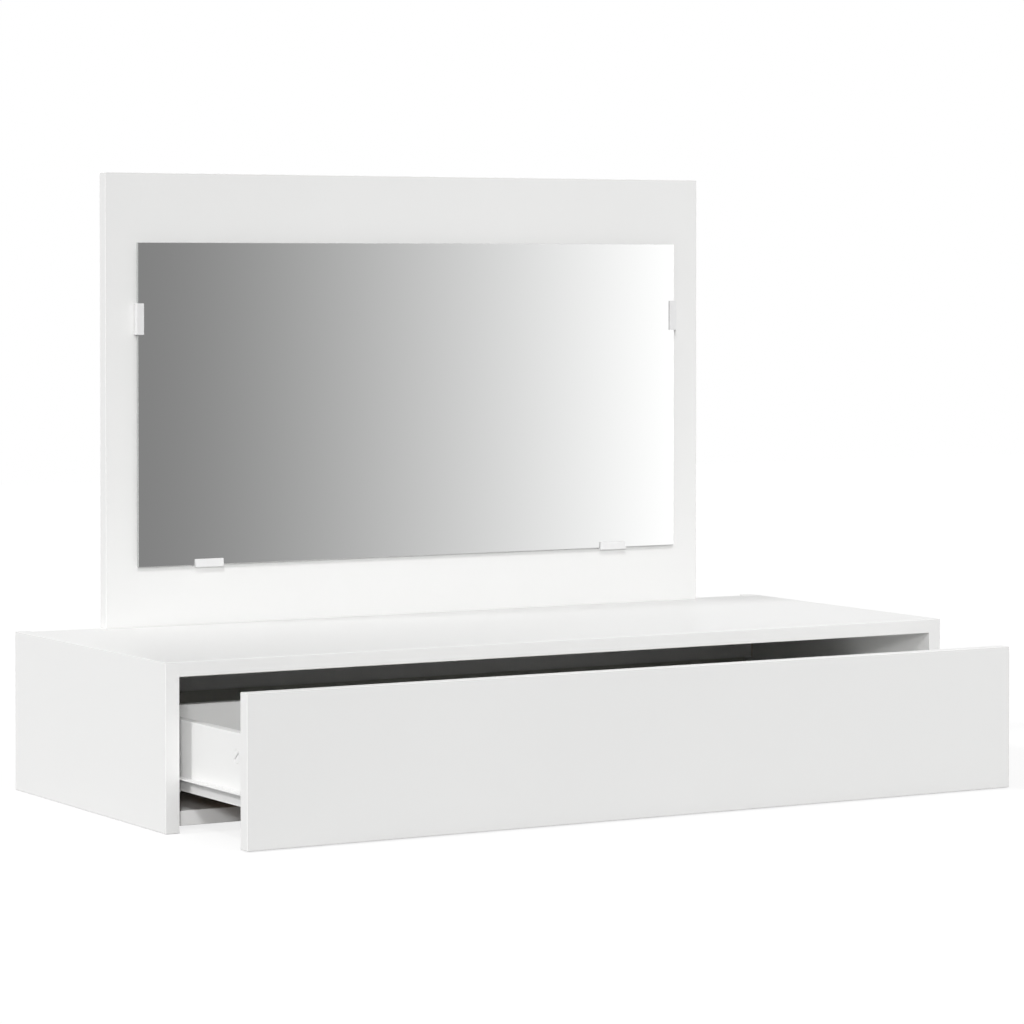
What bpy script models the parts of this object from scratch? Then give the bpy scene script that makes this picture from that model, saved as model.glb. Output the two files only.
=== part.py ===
"""Wall-hung dressing table: a wide case with one drawer, and a board behind it that carries a mirror.

Metres, +Z up. +X runs to the right and +Y to the wall, so the drawer opens towards -Y. Pieces are placed
from the case's own corner planes: X from the middle, Y from the case front, Z from the lower edge of the
sides. One empty then moves the whole table, so that its origin lies under the middle of its outline.
"""

import math

import bmesh
import bpy
from mathutils import Euler, Matrix, Vector

# Boards
CASE_WIDTH = 1.000
CASE_DEPTH = 0.400
CASE_HEIGHT = 0.180
BOARD = 0.016
EDGE_ROUND = 0.0008
FIT = 0.0003  # gap between pieces that rest on each other
OVERCUT = 0.001  # how far a cut starts outside the face that it enters
MERGE = 0.00001  # points this close are one point

# Bottom, back and hanging rail
BOTTOM_LIFT = 0.005
BOTTOM_SETBACK = 0.002  # behind the closed drawer front
BACK_LEDGE = 0.009  # the sides run this far past the back panel
BACK_THICKNESS = 0.003
BACK_DROP = 0.001  # upper edge of the back panel under the case's top
GROOVE_DEPTH = 0.006
GROOVE_PLAY = 0.0005  # between a panel's edge and the end of its groove
RAIL_HEIGHT = 0.060
WALL_HOLE_SPACING = 0.700
WALL_HOLE_RADIUS = 0.004

# Drawer
DRAWER_OPEN = 0.1558
FRONT_THICKNESS = 0.016
FRONT_SIDE_GAP = 0.002
FRONT_TOP_GAP = 0.0025
FRONT_FLOOR_GAP = 0.001
DRAWER_BOARD = 0.012
DRAWER_SIDE_HEIGHT = 0.073
DRAWER_LIFT = 0.0433  # lower edge of the drawer sides
DRAWER_REAR_SPACE = 0.055  # from the closed drawer to the rail
DRAWER_BOTTOM_THICKNESS = 0.003
DRAWER_BOTTOM_RISE = 0.010  # groove above the lower edge of the drawer sides

# Runners, one pair of bent profiles on each side
RUNNER_SPACE = 0.013  # between case side and drawer side
RUNNER_STEEL = 0.0012
DRAWER_PROFILE_HEIGHT = 0.0148
DRAWER_FLANGE = 0.011  # under the drawer side
FLANGE_CLEARANCE = 0.0015  # from a flange's tip to the other profile
CASE_LIP = 0.006  # upper flange of the case profile
LIP_CLEARANCE = 0.0008
CASE_RUNNER_SETBACK = 0.002  # behind the closed drawer front
ROLLER_RADIUS = 0.006
ROLLER_WIDTH = 0.005
ROLLER_HEADROOM = 0.0009  # drawer roller under its own profile
ROLLER_END = 0.010  # from a profile's end to its roller's axle
AXLE_RADIUS = 0.002
AXLE_HEAD_RADIUS = 0.003
AXLE_HEAD_THICKNESS = 0.0006
AXLE_CLEARANCE = 0.0001
AXLE_END_PLAY = 0.0002
RUNNER_SCREW_INSET = 0.045  # from a profile's end to its screw

# Mirror
MIRROR_SIDE_STEP = 0.100  # from the case's side to the mirror board's side
MIRROR_BOARD_HEIGHT = 0.520
GLASS_SIDE_MARGIN = 0.0375
GLASS_TOP_MARGIN = 0.0796
GLASS_BOTTOM_MARGIN = 0.0692
GLASS_THICKNESS = 0.004
CLIP_LENGTH = 0.036
CLIP_LEG = 0.014  # behind the glass
CLIP_LEG_THICKNESS = 0.002
CLIP_WALL = 0.002
CLIP_LIP = 0.007  # in front of the glass
CLIP_LIP_THICKNESS = 0.0022
CLIP_ROUND = 0.0004
SIDE_CLIP_DROP = 0.0875  # below the glass's upper edge
BOTTOM_CLIP_INSET = 0.089  # from the glass's side edge
CLIP_SCREW_INSET = 0.008  # from the glass's edge
MIRROR_SCREW_INSET = 0.100  # from the mirror board's side

# Fasteners
FASTENER_STEPS = 12  # sides of a small round piece and of its bore
ROLLER_STEPS = 24
BORE_CLEARANCE = 0.0002
SEAT_GAP = 0.0002  # under a screw's head
CAM_RADIUS = 0.0072
CAM_REACH = 0.0035  # depth of the cam past its bolt's axis
CAM_SLOT_LENGTH = 0.0132
CAM_SLOT_WIDTH = 0.002
CAM_SLOT_DEPTH = 0.0014
CAM_SLOT_ANGLE = math.radians(-50)
CAM_BOLT_REACH = 0.0312  # from the joint to the cam's axis
CAM_BOLT_RADIUS = 0.003
CAM_BOLT_NECK = 0.0018
CAM_BOLT_NECK_LENGTH = 0.008
CAM_BOLT_HEAD = 0.0028
CAM_BOLT_HEAD_LENGTH = 0.003
CAM_BOLT_THREAD = 0.0025
CAM_BOLT_THREAD_LENGTH = 0.010
CAM_INSET = 0.060  # from the top panel's front and rear edge
DRAWER_CAM_DROP = 0.0244  # below the upper edge of the drawer side
DOWEL_RADIUS = 0.004
DOWEL_LENGTH = 0.030
DOWEL_IN_SIDE = 0.010
DOWEL_CHAMFER = 0.001
DOWEL_INSET = 0.060  # from the bottom panel's front and rear edge
RUNNER_SCREW_RADIUS = 0.0018
RUNNER_SCREW_HEAD = 0.0035
RUNNER_SCREW_HEAD_THICKNESS = 0.001
RUNNER_SCREW_LENGTH = 0.010
CLIP_SCREW_RADIUS = 0.0015
CLIP_SCREW_HEAD = 0.0028
CLIP_SCREW_HEAD_THICKNESS = 0.001
CLIP_SCREW_LENGTH = 0.012
MIRROR_SCREW_RADIUS = 0.0025
MIRROR_SCREW_HEAD = 0.005
MIRROR_SCREW_HEAD_THICKNESS = 0.003
MIRROR_SCREW_LENGTH = 0.050
BACK_SCREW_RADIUS = 0.002
BACK_SCREW_HEAD = 0.0038
BACK_SCREW_HEAD_THICKNESS = 0.002
BACK_SCREW_LENGTH = 0.035

# Planes that several pieces share
INNER_X = CASE_WIDTH / 2 - BOARD
BACK_FRONT_Y = CASE_DEPTH - BACK_LEDGE - BACK_THICKNESS
REAR_Y = BACK_FRONT_Y - FIT  # rear edges of top, bottom, rail and mirror board
TOP_UNDER_Z = CASE_HEIGHT - BOARD
BOTTOM_TOP_Z = BOTTOM_LIFT + BOARD
BOTTOM_FRONT_Y = FRONT_THICKNESS + BOTTOM_SETBACK
BACK_TOP_Z = CASE_HEIGHT - BACK_DROP
RAIL_FRONT_Y = REAR_Y - BOARD
DRAWER_Y = FRONT_THICKNESS + FIT  # front ends of the drawer sides, closed
DRAWER_REAR_Y = RAIL_FRONT_Y - DRAWER_REAR_SPACE
DRAWER_X = INNER_X - RUNNER_SPACE  # outer faces of the drawer sides
DRAWER_INNER_X = DRAWER_X - DRAWER_BOARD
DRAWER_TOP_Z = DRAWER_LIFT + DRAWER_SIDE_HEIGHT
DRAWER_BOTTOM_Z = DRAWER_LIFT + DRAWER_BOTTOM_RISE
DRAWER_BACK_Y = DRAWER_REAR_Y - DRAWER_BOARD
DRAWER_CAM_Z = DRAWER_TOP_Z - DRAWER_CAM_DROP
BACK_SCREW_Z = (DRAWER_BOTTOM_Z + DRAWER_TOP_Z) / 2
CASE_RUNNER_Y = FRONT_THICKNESS + CASE_RUNNER_SETBACK
CASE_RUNNER_END_Y = DRAWER_REAR_Y + CASE_RUNNER_SETBACK
FLANGE_UNDER_Z = DRAWER_LIFT - FIT - RUNNER_STEEL
FLANGE_TOP_Z = FLANGE_UNDER_Z + DRAWER_PROFILE_HEIGHT
TRACK_Z = FLANGE_TOP_Z - RUNNER_STEEL  # the case roller carries the drawer profile here
CASE_ROLLER_Z = TRACK_Z - FIT - ROLLER_RADIUS
DRAWER_ROLLER_Z = TRACK_Z - ROLLER_HEADROOM - ROLLER_RADIUS
CASE_TRACK_Z = DRAWER_ROLLER_Z - ROLLER_RADIUS - FIT  # the drawer roller runs on this face
CASE_LIP_Z = FLANGE_TOP_Z + LIP_CLEARANCE
CASE_WEB_X = INNER_X - FIT - RUNNER_STEEL  # free face of the case profile's web
DRAWER_WEB_X = DRAWER_X + FIT + RUNNER_STEEL
ROLLER_X = (CASE_WEB_X + DRAWER_WEB_X) / 2
MIRROR_X = CASE_WIDTH / 2 - MIRROR_SIDE_STEP
MIRROR_FRONT_Y = REAR_Y - BOARD
MIRROR_FOOT_Z = CASE_HEIGHT + FIT
GLASS_X = MIRROR_X - GLASS_SIDE_MARGIN
GLASS_LOW_Z = MIRROR_FOOT_Z + GLASS_BOTTOM_MARGIN
GLASS_HIGH_Z = MIRROR_FOOT_Z + MIRROR_BOARD_HEIGHT - GLASS_TOP_MARGIN
GLASS_BACK = FIT + CLIP_LEG_THICKNESS + FIT  # glass in front of the mirror board
GLASS_FRONT = GLASS_BACK + GLASS_THICKNESS
TABLE_MIDDLE_Y = (CASE_DEPTH - DRAWER_OPEN) / 2

SIDES = (("left", -1), ("right", 1))
ENDS = (("front", 0), ("rear", 1))
TURN_TO = {
    "+X": (0, math.pi / 2, 0),
    "-X": (0, -math.pi / 2, 0),
    "+Y": (-math.pi / 2, 0, 0),
    "-Y": (math.pi / 2, 0, 0),
    "+Z": (0, 0, 0),
    "-Z": (math.pi, 0, 0),
}
UP = Vector((0, 0, 1))


def clear_scene():
    for old in list(bpy.data.objects):
        bpy.data.objects.remove(old, do_unlink=True)


clear_scene()
PARTS = bpy.data.collections.new("dressing_table")
CUTTERS = bpy.data.collections.new("dressing_table_cutters")
bpy.context.scene.collection.children.link(PARTS)
bpy.context.scene.collection.children.link(CUTTERS)


def empty(name, location, parent=None):
    """A frame that carries the pieces of one moving group."""
    frame = bpy.data.objects.new(name, None)
    frame.location = location
    frame.parent = parent
    PARTS.objects.link(frame)
    return frame


TABLE = empty("table_frame", (0, -TABLE_MIDDLE_Y, 0))
DRAWER = empty("drawer_slide", (0, -DRAWER_OPEN, 0), TABLE)


def material(name, colour, roughness, metallic=0.0):
    made = bpy.data.materials.new(name)
    made.use_nodes = True
    shader = made.node_tree.nodes["Principled BSDF"]
    shader.inputs["Base Color"].default_value = (*colour, 1)
    shader.inputs["Roughness"].default_value = roughness
    shader.inputs["Metallic"].default_value = metallic
    return made


WHITE_BOARD = material("white_melamine", (0.84, 0.84, 0.83), 0.45)
DRAWER_BOX = material("white_drawer_board", (0.80, 0.80, 0.79), 0.5)
HARDBOARD = material("white_hardboard", (0.70, 0.69, 0.67), 0.6)
MIRROR = material("silvered_glass", (0.90, 0.91, 0.91), 0.02, 1.0)
CLIP_PLASTIC = material("white_plastic", (0.82, 0.82, 0.82), 0.35)
RUNNER_COAT = material("white_coated_steel", (0.75, 0.75, 0.74), 0.4)
NYLON = material("white_nylon", (0.80, 0.80, 0.78), 0.45)
ZINC = material("zinc_plated_steel", (0.62, 0.62, 0.62), 0.35, 1.0)
BEECH = material("beech_dowel", (0.58, 0.42, 0.26), 0.7)


def finish(name, mesh, look, parent, location, turn=(0, 0, 0)):
    """Put a mesh in the scene as one named piece of the table."""
    piece = bpy.data.objects.new(name, mesh)
    piece.location = location
    piece.rotation_euler = turn
    piece.parent = parent
    mesh.materials.append(look)
    PARTS.objects.link(piece)
    return piece


def mesh_from(bm, name):
    mesh = bpy.data.meshes.new(name)
    bm.to_mesh(mesh)
    bm.free()
    return mesh


def bevel(piece, width):
    rounding = piece.modifiers.new("rounded_edges", "BEVEL")
    rounding.width = width
    rounding.segments = 2
    rounding.limit_method = "ANGLE"


def board(name, low, high, look, parent=TABLE, edge=EDGE_ROUND):
    """A flat panel between two corners, with eased edges."""
    low, high = Vector(low), Vector(high)
    bm = bmesh.new()
    bmesh.ops.create_cube(bm, size=1)
    bmesh.ops.scale(bm, vec=high - low, verts=bm.verts)
    piece = finish(name, mesh_from(bm, name), look, parent, (low + high) / 2)
    if edge:
        bevel(piece, edge)
    return piece


def block(low, high):
    """A straight cut, as a function that adds it to a cutter's mesh."""
    low, high = Vector(low), Vector(high)

    def add(bm):
        place = Matrix.Translation((low + high) / 2) @ Matrix.Diagonal((*(high - low), 1))
        bmesh.ops.create_cube(bm, size=1, matrix=place)

    return add


def bore(mouth, axis, radius, depth):
    """A round cut from just outside its mouth to a depth along an axis."""
    turn = Euler(TURN_TO[axis]).to_matrix().to_4x4()
    middle = Vector(mouth) + turn @ UP * (depth - OVERCUT) / 2

    def add(bm):
        bmesh.ops.create_cone(
            bm,
            cap_ends=True,
            segments=FASTENER_STEPS,
            radius1=radius,
            radius2=radius,
            depth=depth + OVERCUT,
            matrix=Matrix.Translation(middle) @ turn,
        )

    return add


def take_out(piece, label, mesh, location=(0, 0, 0), turn=(0, 0, 0)):
    """Cut a shape out of a piece, in the frame that carries it."""
    cutter = bpy.data.objects.new(mesh.name, mesh)
    cutter.parent = piece.parent
    cutter.location = location
    cutter.rotation_euler = turn
    cutter.hide_render = True
    cutter.display_type = "WIRE"
    CUTTERS.objects.link(cutter)
    taken = piece.modifiers.new(label, "BOOLEAN")
    taken.operation = "DIFFERENCE"
    taken.solver = "EXACT"
    taken.object = cutter


def cut(piece, label, shapes):
    """Take cuts that lie clear of each other out of a piece."""
    bm = bmesh.new()
    for add in shapes:
        add(bm)
    take_out(piece, label, mesh_from(bm, f"cut_{piece.name}_{label}"))


def turned(name, outline, look, parent, location, axis, steps=FASTENER_STEPS, ring=False):
    """A round piece from its half outline, given as radius and height from the top down."""
    bm = bmesh.new()
    points = [bm.verts.new((radius, 0, height)) for radius, height in outline]
    pairs = list(zip(points, points[1:]))
    if ring:
        pairs.append((points[-1], points[0]))
    for pair in pairs:
        bm.edges.new(pair)
    piece = finish(name, mesh_from(bm, name), look, parent, location, TURN_TO[axis])
    lathe = piece.modifiers.new("lathe", "SCREW")
    lathe.angle = 2 * math.pi
    lathe.steps = steps
    lathe.render_steps = steps
    lathe.use_merge_vertices = True
    lathe.merge_threshold = MERGE
    return piece


def extruded(name, outline, length, look, parent, location, turn=(0, 0, 0)):
    """A bent strip or moulding from its section in X and Y, with its length along Z."""
    curve = bpy.data.curves.new(name, "CURVE")
    curve.dimensions = "2D"
    curve.fill_mode = "BOTH"
    curve.extrude = length / 2
    spline = curve.splines.new("POLY")
    spline.points.add(len(outline) - 1)
    spline.use_cyclic_u = True
    for point, (x, y) in zip(spline.points, outline):
        point.co = (x, y, 0, 1)
    sketch = bpy.data.objects.new(name, curve)
    CUTTERS.objects.link(sketch)
    solid = sketch.evaluated_get(bpy.context.evaluated_depsgraph_get())
    mesh = bpy.data.meshes.new_from_object(solid)
    bpy.data.objects.remove(sketch, do_unlink=True)
    bm = bmesh.new()
    bm.from_mesh(mesh)
    bmesh.ops.remove_doubles(bm, verts=bm.verts, dist=MERGE)
    bmesh.ops.recalc_face_normals(bm, faces=bm.faces)
    mesh.clear_geometry()
    bm.to_mesh(mesh)
    bm.free()
    mesh.name = name
    return finish(name, mesh, look, parent, location, turn)


def join(piece, other):
    """Make a fixed pin part of the piece that it is riveted to."""
    PARTS.objects.unlink(other)
    CUTTERS.objects.link(other)
    other.hide_render = True
    other.display_type = "WIRE"
    added = piece.modifiers.new(other.name, "BOOLEAN")
    added.operation = "UNION"
    added.solver = "EXACT"
    added.object = other


def headed_screw(name, seat, axis, radius, head, head_thickness, length, parent):
    """A plain-shanked screw that points along its axis, with the underside of its head at the seat."""
    outline = (
        (0, length),
        (radius / 2, length),
        (radius, length - radius),
        (radius, 0),
        (head, 0),
        (head, -head_thickness),
        (0, -head_thickness),
    )
    turned(name, outline, ZINC, parent, seat, axis)


def dowel(name, middle, parent):
    """A wooden peg across a joint, along X."""
    half = DOWEL_LENGTH / 2
    outline = (
        (0, half),
        (DOWEL_RADIUS - DOWEL_CHAMFER, half),
        (DOWEL_RADIUS, half - DOWEL_CHAMFER),
        (DOWEL_RADIUS, DOWEL_CHAMFER - half),
        (DOWEL_RADIUS - DOWEL_CHAMFER, -half),
        (0, -half),
    )
    turned(name, outline, BEECH, parent, middle, "+X")


def cam_bolt(name, joint, axis, parent):
    """The bolt of a cam fitting: threaded behind the joint, with its head in the cam in front of it."""
    tip = CAM_BOLT_REACH + CAM_BOLT_HEAD_LENGTH / 2
    neck_top = tip - CAM_BOLT_HEAD_LENGTH
    neck_low = neck_top - CAM_BOLT_NECK_LENGTH
    outline = (
        (0, tip),
        (CAM_BOLT_HEAD, tip),
        (CAM_BOLT_HEAD, neck_top),
        (CAM_BOLT_NECK, neck_top),
        (CAM_BOLT_NECK, neck_low),
        (CAM_BOLT_RADIUS, neck_low),
        (CAM_BOLT_RADIUS, 0),
        (CAM_BOLT_THREAD, 0),
        (CAM_BOLT_THREAD, -CAM_BOLT_THREAD_LENGTH),
        (0, -CAM_BOLT_THREAD_LENGTH),
    )
    turned(name, outline, ZINC, parent, joint, axis)


def cam_lock(name, face, axis, bolt_depth, to_bolt, parent):
    """The cam of a fitting: a drum let into a face, with a driver's slot, hollow where it grips its bolt."""
    depth = bolt_depth + CAM_REACH
    outline = ((0, 0), (CAM_RADIUS, 0), (CAM_RADIUS, -depth), (0, -depth))
    drum = turned(name, outline, ZINC, parent, face, axis)
    outward = drum.rotation_euler.to_matrix() @ UP
    bolt_point = Vector(face) - outward * bolt_depth
    mouth = bolt_point + Vector(to_bolt) * (CAM_RADIUS + OVERCUT)
    end = bolt_point - Vector(to_bolt) * (CAM_BOLT_HEAD_LENGTH / 2 + BORE_CLEARANCE)
    across_bolt = Vector((1, 1, 1)) - Vector(abs(part) for part in to_bolt)
    room = across_bolt * (CAM_BOLT_HEAD + BORE_CLEARANCE)
    low = Vector(map(min, mouth, end)) - room
    high = Vector(map(max, mouth, end)) + room
    cut(drum, "bolt_pocket", [block(low, high)])
    driver_slot(drum, face)


def driver_slot(drum, face):
    """A slanting slot across the outer face of a cam."""
    bm = bmesh.new()
    size = (CAM_SLOT_LENGTH, CAM_SLOT_WIDTH, 2 * CAM_SLOT_DEPTH)
    bmesh.ops.create_cube(bm, size=1, matrix=Matrix.Diagonal((*size, 1)))
    bmesh.ops.rotate(bm, matrix=Matrix.Rotation(CAM_SLOT_ANGLE, 3, "Z"), verts=bm.verts)
    take_out(drum, "driver_slot", mesh_from(bm, f"cut_{drum.name}_slot"), face, drum.rotation_euler)


def end_y(end, low, high, inset):
    """A place at one end of a stretch along Y, an inset away from that end."""
    return high - inset if end else low + inset


def into_side(sign):
    """The direction from inside the case into its side."""
    return "+X" if sign > 0 else "-X"


def out_of_side(sign):
    return into_side(-sign)


def across(sign, inner, outer):
    """Low and high X of a stretch that lies on one side of the middle."""
    return sorted((sign * inner, sign * outer))


def rail_dowel_place(sign):
    return (sign * INNER_X, RAIL_FRONT_Y + BOARD / 2, TOP_UNDER_Z - FIT - RAIL_HEIGHT / 2)


def bottom_dowel_place(sign, end):
    y = end_y(end, BOTTOM_FRONT_Y, REAR_Y, DOWEL_INSET)
    return (sign * INNER_X, y, BOTTOM_LIFT + BOARD / 2)


def top_bolt_place(sign, end):
    return (sign * INNER_X, end_y(end, 0, REAR_Y, CAM_INSET), TOP_UNDER_Z + BOARD / 2)


def case_screw_y(end):
    return end_y(end, CASE_RUNNER_Y, CASE_RUNNER_END_Y, RUNNER_SCREW_INSET)


def drawer_screw_y(end):
    return end_y(end, DRAWER_Y, DRAWER_REAR_Y, RUNNER_SCREW_INSET)


def build_sides():
    for name, sign in SIDES:
        low_x, high_x = across(sign, INNER_X, CASE_WIDTH / 2)
        panel = board(f"{name}_side_panel", (low_x, 0, 0), (high_x, CASE_DEPTH, CASE_HEIGHT), WHITE_BOARD)
        low_x, high_x = across(sign, INNER_X - OVERCUT, INNER_X + GROOVE_DEPTH)
        groove_low = (low_x, BACK_FRONT_Y - FIT, -OVERCUT)
        groove_high = (high_x, BACK_FRONT_Y + BACK_THICKNESS + FIT, BACK_TOP_Z + GROOVE_PLAY)
        into = into_side(sign)
        holes = [block(groove_low, groove_high)]
        holes.append(bore(rail_dowel_place(sign), into, DOWEL_RADIUS + BORE_CLEARANCE, DOWEL_IN_SIDE + FIT))
        for _, end in ENDS:
            place = bottom_dowel_place(sign, end)
            holes.append(bore(place, into, DOWEL_RADIUS + BORE_CLEARANCE, DOWEL_IN_SIDE + FIT))
            place = top_bolt_place(sign, end)
            radius = CAM_BOLT_THREAD + BORE_CLEARANCE
            holes.append(bore(place, into, radius, CAM_BOLT_THREAD_LENGTH + FIT))
            place = (sign * INNER_X, case_screw_y(end), DRAWER_ROLLER_Z)
            holes.append(bore(place, into, RUNNER_SCREW_RADIUS + BORE_CLEARANCE, RUNNER_SCREW_LENGTH))
        cut(panel, "groove_and_bores", holes)


def build_top():
    end_x = INNER_X - FIT
    top = board("top_panel", (-end_x, 0, TOP_UNDER_Z), (end_x, REAR_Y, CASE_HEIGHT), WHITE_BOARD)
    cam_holes = []
    bolt_holes = []
    for name, sign in SIDES:
        for label, end in ENDS:
            joint = top_bolt_place(sign, end)
            face = (sign * (INNER_X - CAM_BOLT_REACH), joint[1], TOP_UNDER_Z)
            cam_lock(f"top_cam_lock_{name}_{label}", face, "-Z", BOARD / 2, (sign, 0, 0), TABLE)
            cam_bolt(f"top_cam_bolt_{name}_{label}", joint, out_of_side(sign), TABLE)
            cam_holes.append(bore(face, "+Z", CAM_RADIUS + BORE_CLEARANCE, BOARD / 2 + CAM_REACH + FIT))
            shank = CAM_BOLT_RADIUS + BORE_CLEARANCE
            bolt_holes.append(bore(joint, out_of_side(sign), shank, CAM_BOLT_REACH))
    cut(top, "cam_bores", cam_holes)
    cut(top, "bolt_bores", bolt_holes)
    return top


def build_bottom():
    end_x = INNER_X - FIT
    low = (-end_x, BOTTOM_FRONT_Y, BOTTOM_LIFT)
    bottom = board("bottom_panel", low, (end_x, REAR_Y, BOTTOM_TOP_Z), WHITE_BOARD)
    holes = []
    for name, sign in SIDES:
        for label, end in ENDS:
            place = bottom_dowel_place(sign, end)
            middle = (sign * (INNER_X + DOWEL_IN_SIDE - DOWEL_LENGTH / 2), place[1], place[2])
            dowel(f"bottom_dowel_{name}_{label}", middle, TABLE)
            radius = DOWEL_RADIUS + BORE_CLEARANCE
            holes.append(bore(place, out_of_side(sign), radius, DOWEL_LENGTH - DOWEL_IN_SIDE + FIT))
    cut(bottom, "dowel_bores", holes)


def build_back():
    """The thin back and, in front of it, the rail that the wall screws pass through."""
    end_x = INNER_X - FIT
    rail_top = TOP_UNDER_Z - FIT
    low = (-end_x, RAIL_FRONT_Y, rail_top - RAIL_HEIGHT)
    rail = board("hanging_rail", low, (end_x, REAR_Y, rail_top), WHITE_BOARD)
    back_x = INNER_X + GROOVE_DEPTH - GROOVE_PLAY
    low = (-back_x, BACK_FRONT_Y, BOTTOM_LIFT)
    back = board("back_panel", low, (back_x, BACK_FRONT_Y + BACK_THICKNESS, BACK_TOP_Z), HARDBOARD, edge=0)
    rail_holes = []
    back_holes = []
    for name, sign in SIDES:
        place = rail_dowel_place(sign)
        middle = (sign * (INNER_X + DOWEL_IN_SIDE - DOWEL_LENGTH / 2), place[1], place[2])
        dowel(f"rail_dowel_{name}", middle, TABLE)
        radius = DOWEL_RADIUS + BORE_CLEARANCE
        rail_holes.append(bore(place, out_of_side(sign), radius, DOWEL_LENGTH - DOWEL_IN_SIDE + FIT))
        wall_x = sign * WALL_HOLE_SPACING / 2
        rail_holes.append(bore((wall_x, RAIL_FRONT_Y, place[2]), "+Y", WALL_HOLE_RADIUS, BOARD + OVERCUT))
        mouth = (wall_x, BACK_FRONT_Y, place[2])
        back_holes.append(bore(mouth, "+Y", WALL_HOLE_RADIUS, BACK_THICKNESS + OVERCUT))
    cut(rail, "dowel_and_wall_bores", rail_holes)
    cut(back, "wall_bores", back_holes)


def axle(name, web, axis, parent):
    """The pin that carries a roller, with a shoulder at its web and a riveted head."""
    room = CASE_WEB_X - DRAWER_WEB_X
    shoulder = (room - ROLLER_WIDTH) / 2 - AXLE_END_PLAY
    head_low = shoulder + ROLLER_WIDTH + 2 * AXLE_END_PLAY
    head_top = head_low + AXLE_HEAD_THICKNESS
    outline = (
        (0, head_top),
        (AXLE_HEAD_RADIUS, head_top),
        (AXLE_HEAD_RADIUS, head_low),
        (AXLE_RADIUS, head_low),
        (AXLE_RADIUS, shoulder),
        (AXLE_HEAD_RADIUS, shoulder),
        (AXLE_HEAD_RADIUS, -RUNNER_STEEL / 2),
        (0, -RUNNER_STEEL / 2),
    )
    return turned(name, outline, RUNNER_COAT, parent, web, axis, ROLLER_STEPS)


def roller(name, place, parent):
    half = ROLLER_WIDTH / 2
    inner = (AXLE_RADIUS + AXLE_CLEARANCE) / math.cos(math.pi / ROLLER_STEPS)
    outline = ((inner, half), (ROLLER_RADIUS, half), (ROLLER_RADIUS, -half), (inner, -half))
    turned(name, outline, NYLON, parent, place, "+X", ROLLER_STEPS, ring=True)


def build_case_runners():
    """A C-shaped profile on each case side, with its roller near the front end."""
    low_z = CASE_TRACK_Z - RUNNER_STEEL
    high_z = CASE_LIP_Z + RUNNER_STEEL
    wall = INNER_X - FIT
    tip = DRAWER_WEB_X + FLANGE_CLEARANCE
    section = (
        (wall, low_z),
        (tip, low_z),
        (tip, CASE_TRACK_Z),
        (CASE_WEB_X, CASE_TRACK_Z),
        (CASE_WEB_X, CASE_LIP_Z),
        (wall - CASE_LIP, CASE_LIP_Z),
        (wall - CASE_LIP, high_z),
        (wall, high_z),
    )
    middle_y = (CASE_RUNNER_Y + CASE_RUNNER_END_Y) / 2
    length = CASE_RUNNER_END_Y - CASE_RUNNER_Y
    roller_y = CASE_RUNNER_Y + ROLLER_END
    for name, sign in SIDES:
        outline = [(sign * x, z) for x, z in section]
        place = (0, middle_y, 0)
        label = f"{name}_case_runner"
        profile = extruded(label, outline, length, RUNNER_COAT, TABLE, place, TURN_TO["-Y"])
        web = (sign * CASE_WEB_X, roller_y, CASE_ROLLER_Z)
        join(profile, axle(f"{name}_case_axle", web, out_of_side(sign), TABLE))
        roller(f"{name}_case_roller", (sign * ROLLER_X, roller_y, CASE_ROLLER_Z), TABLE)
        holes = []
        for label, end in ENDS:
            y = case_screw_y(end)
            mouth = (sign * CASE_WEB_X, y, DRAWER_ROLLER_Z)
            radius = RUNNER_SCREW_RADIUS + BORE_CLEARANCE
            holes.append(bore(mouth, into_side(sign), radius, RUNNER_STEEL + OVERCUT))
            seat = (sign * (CASE_WEB_X - SEAT_GAP), y, DRAWER_ROLLER_Z)
            runner_screw(f"case_runner_screw_{name}_{label}", seat, into_side(sign), TABLE)
        cut(profile, "screw_holes", holes)


def runner_screw(name, seat, axis, parent):
    sizes = (RUNNER_SCREW_RADIUS, RUNNER_SCREW_HEAD, RUNNER_SCREW_HEAD_THICKNESS, RUNNER_SCREW_LENGTH)
    headed_screw(name, seat, axis, *sizes, parent)


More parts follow.
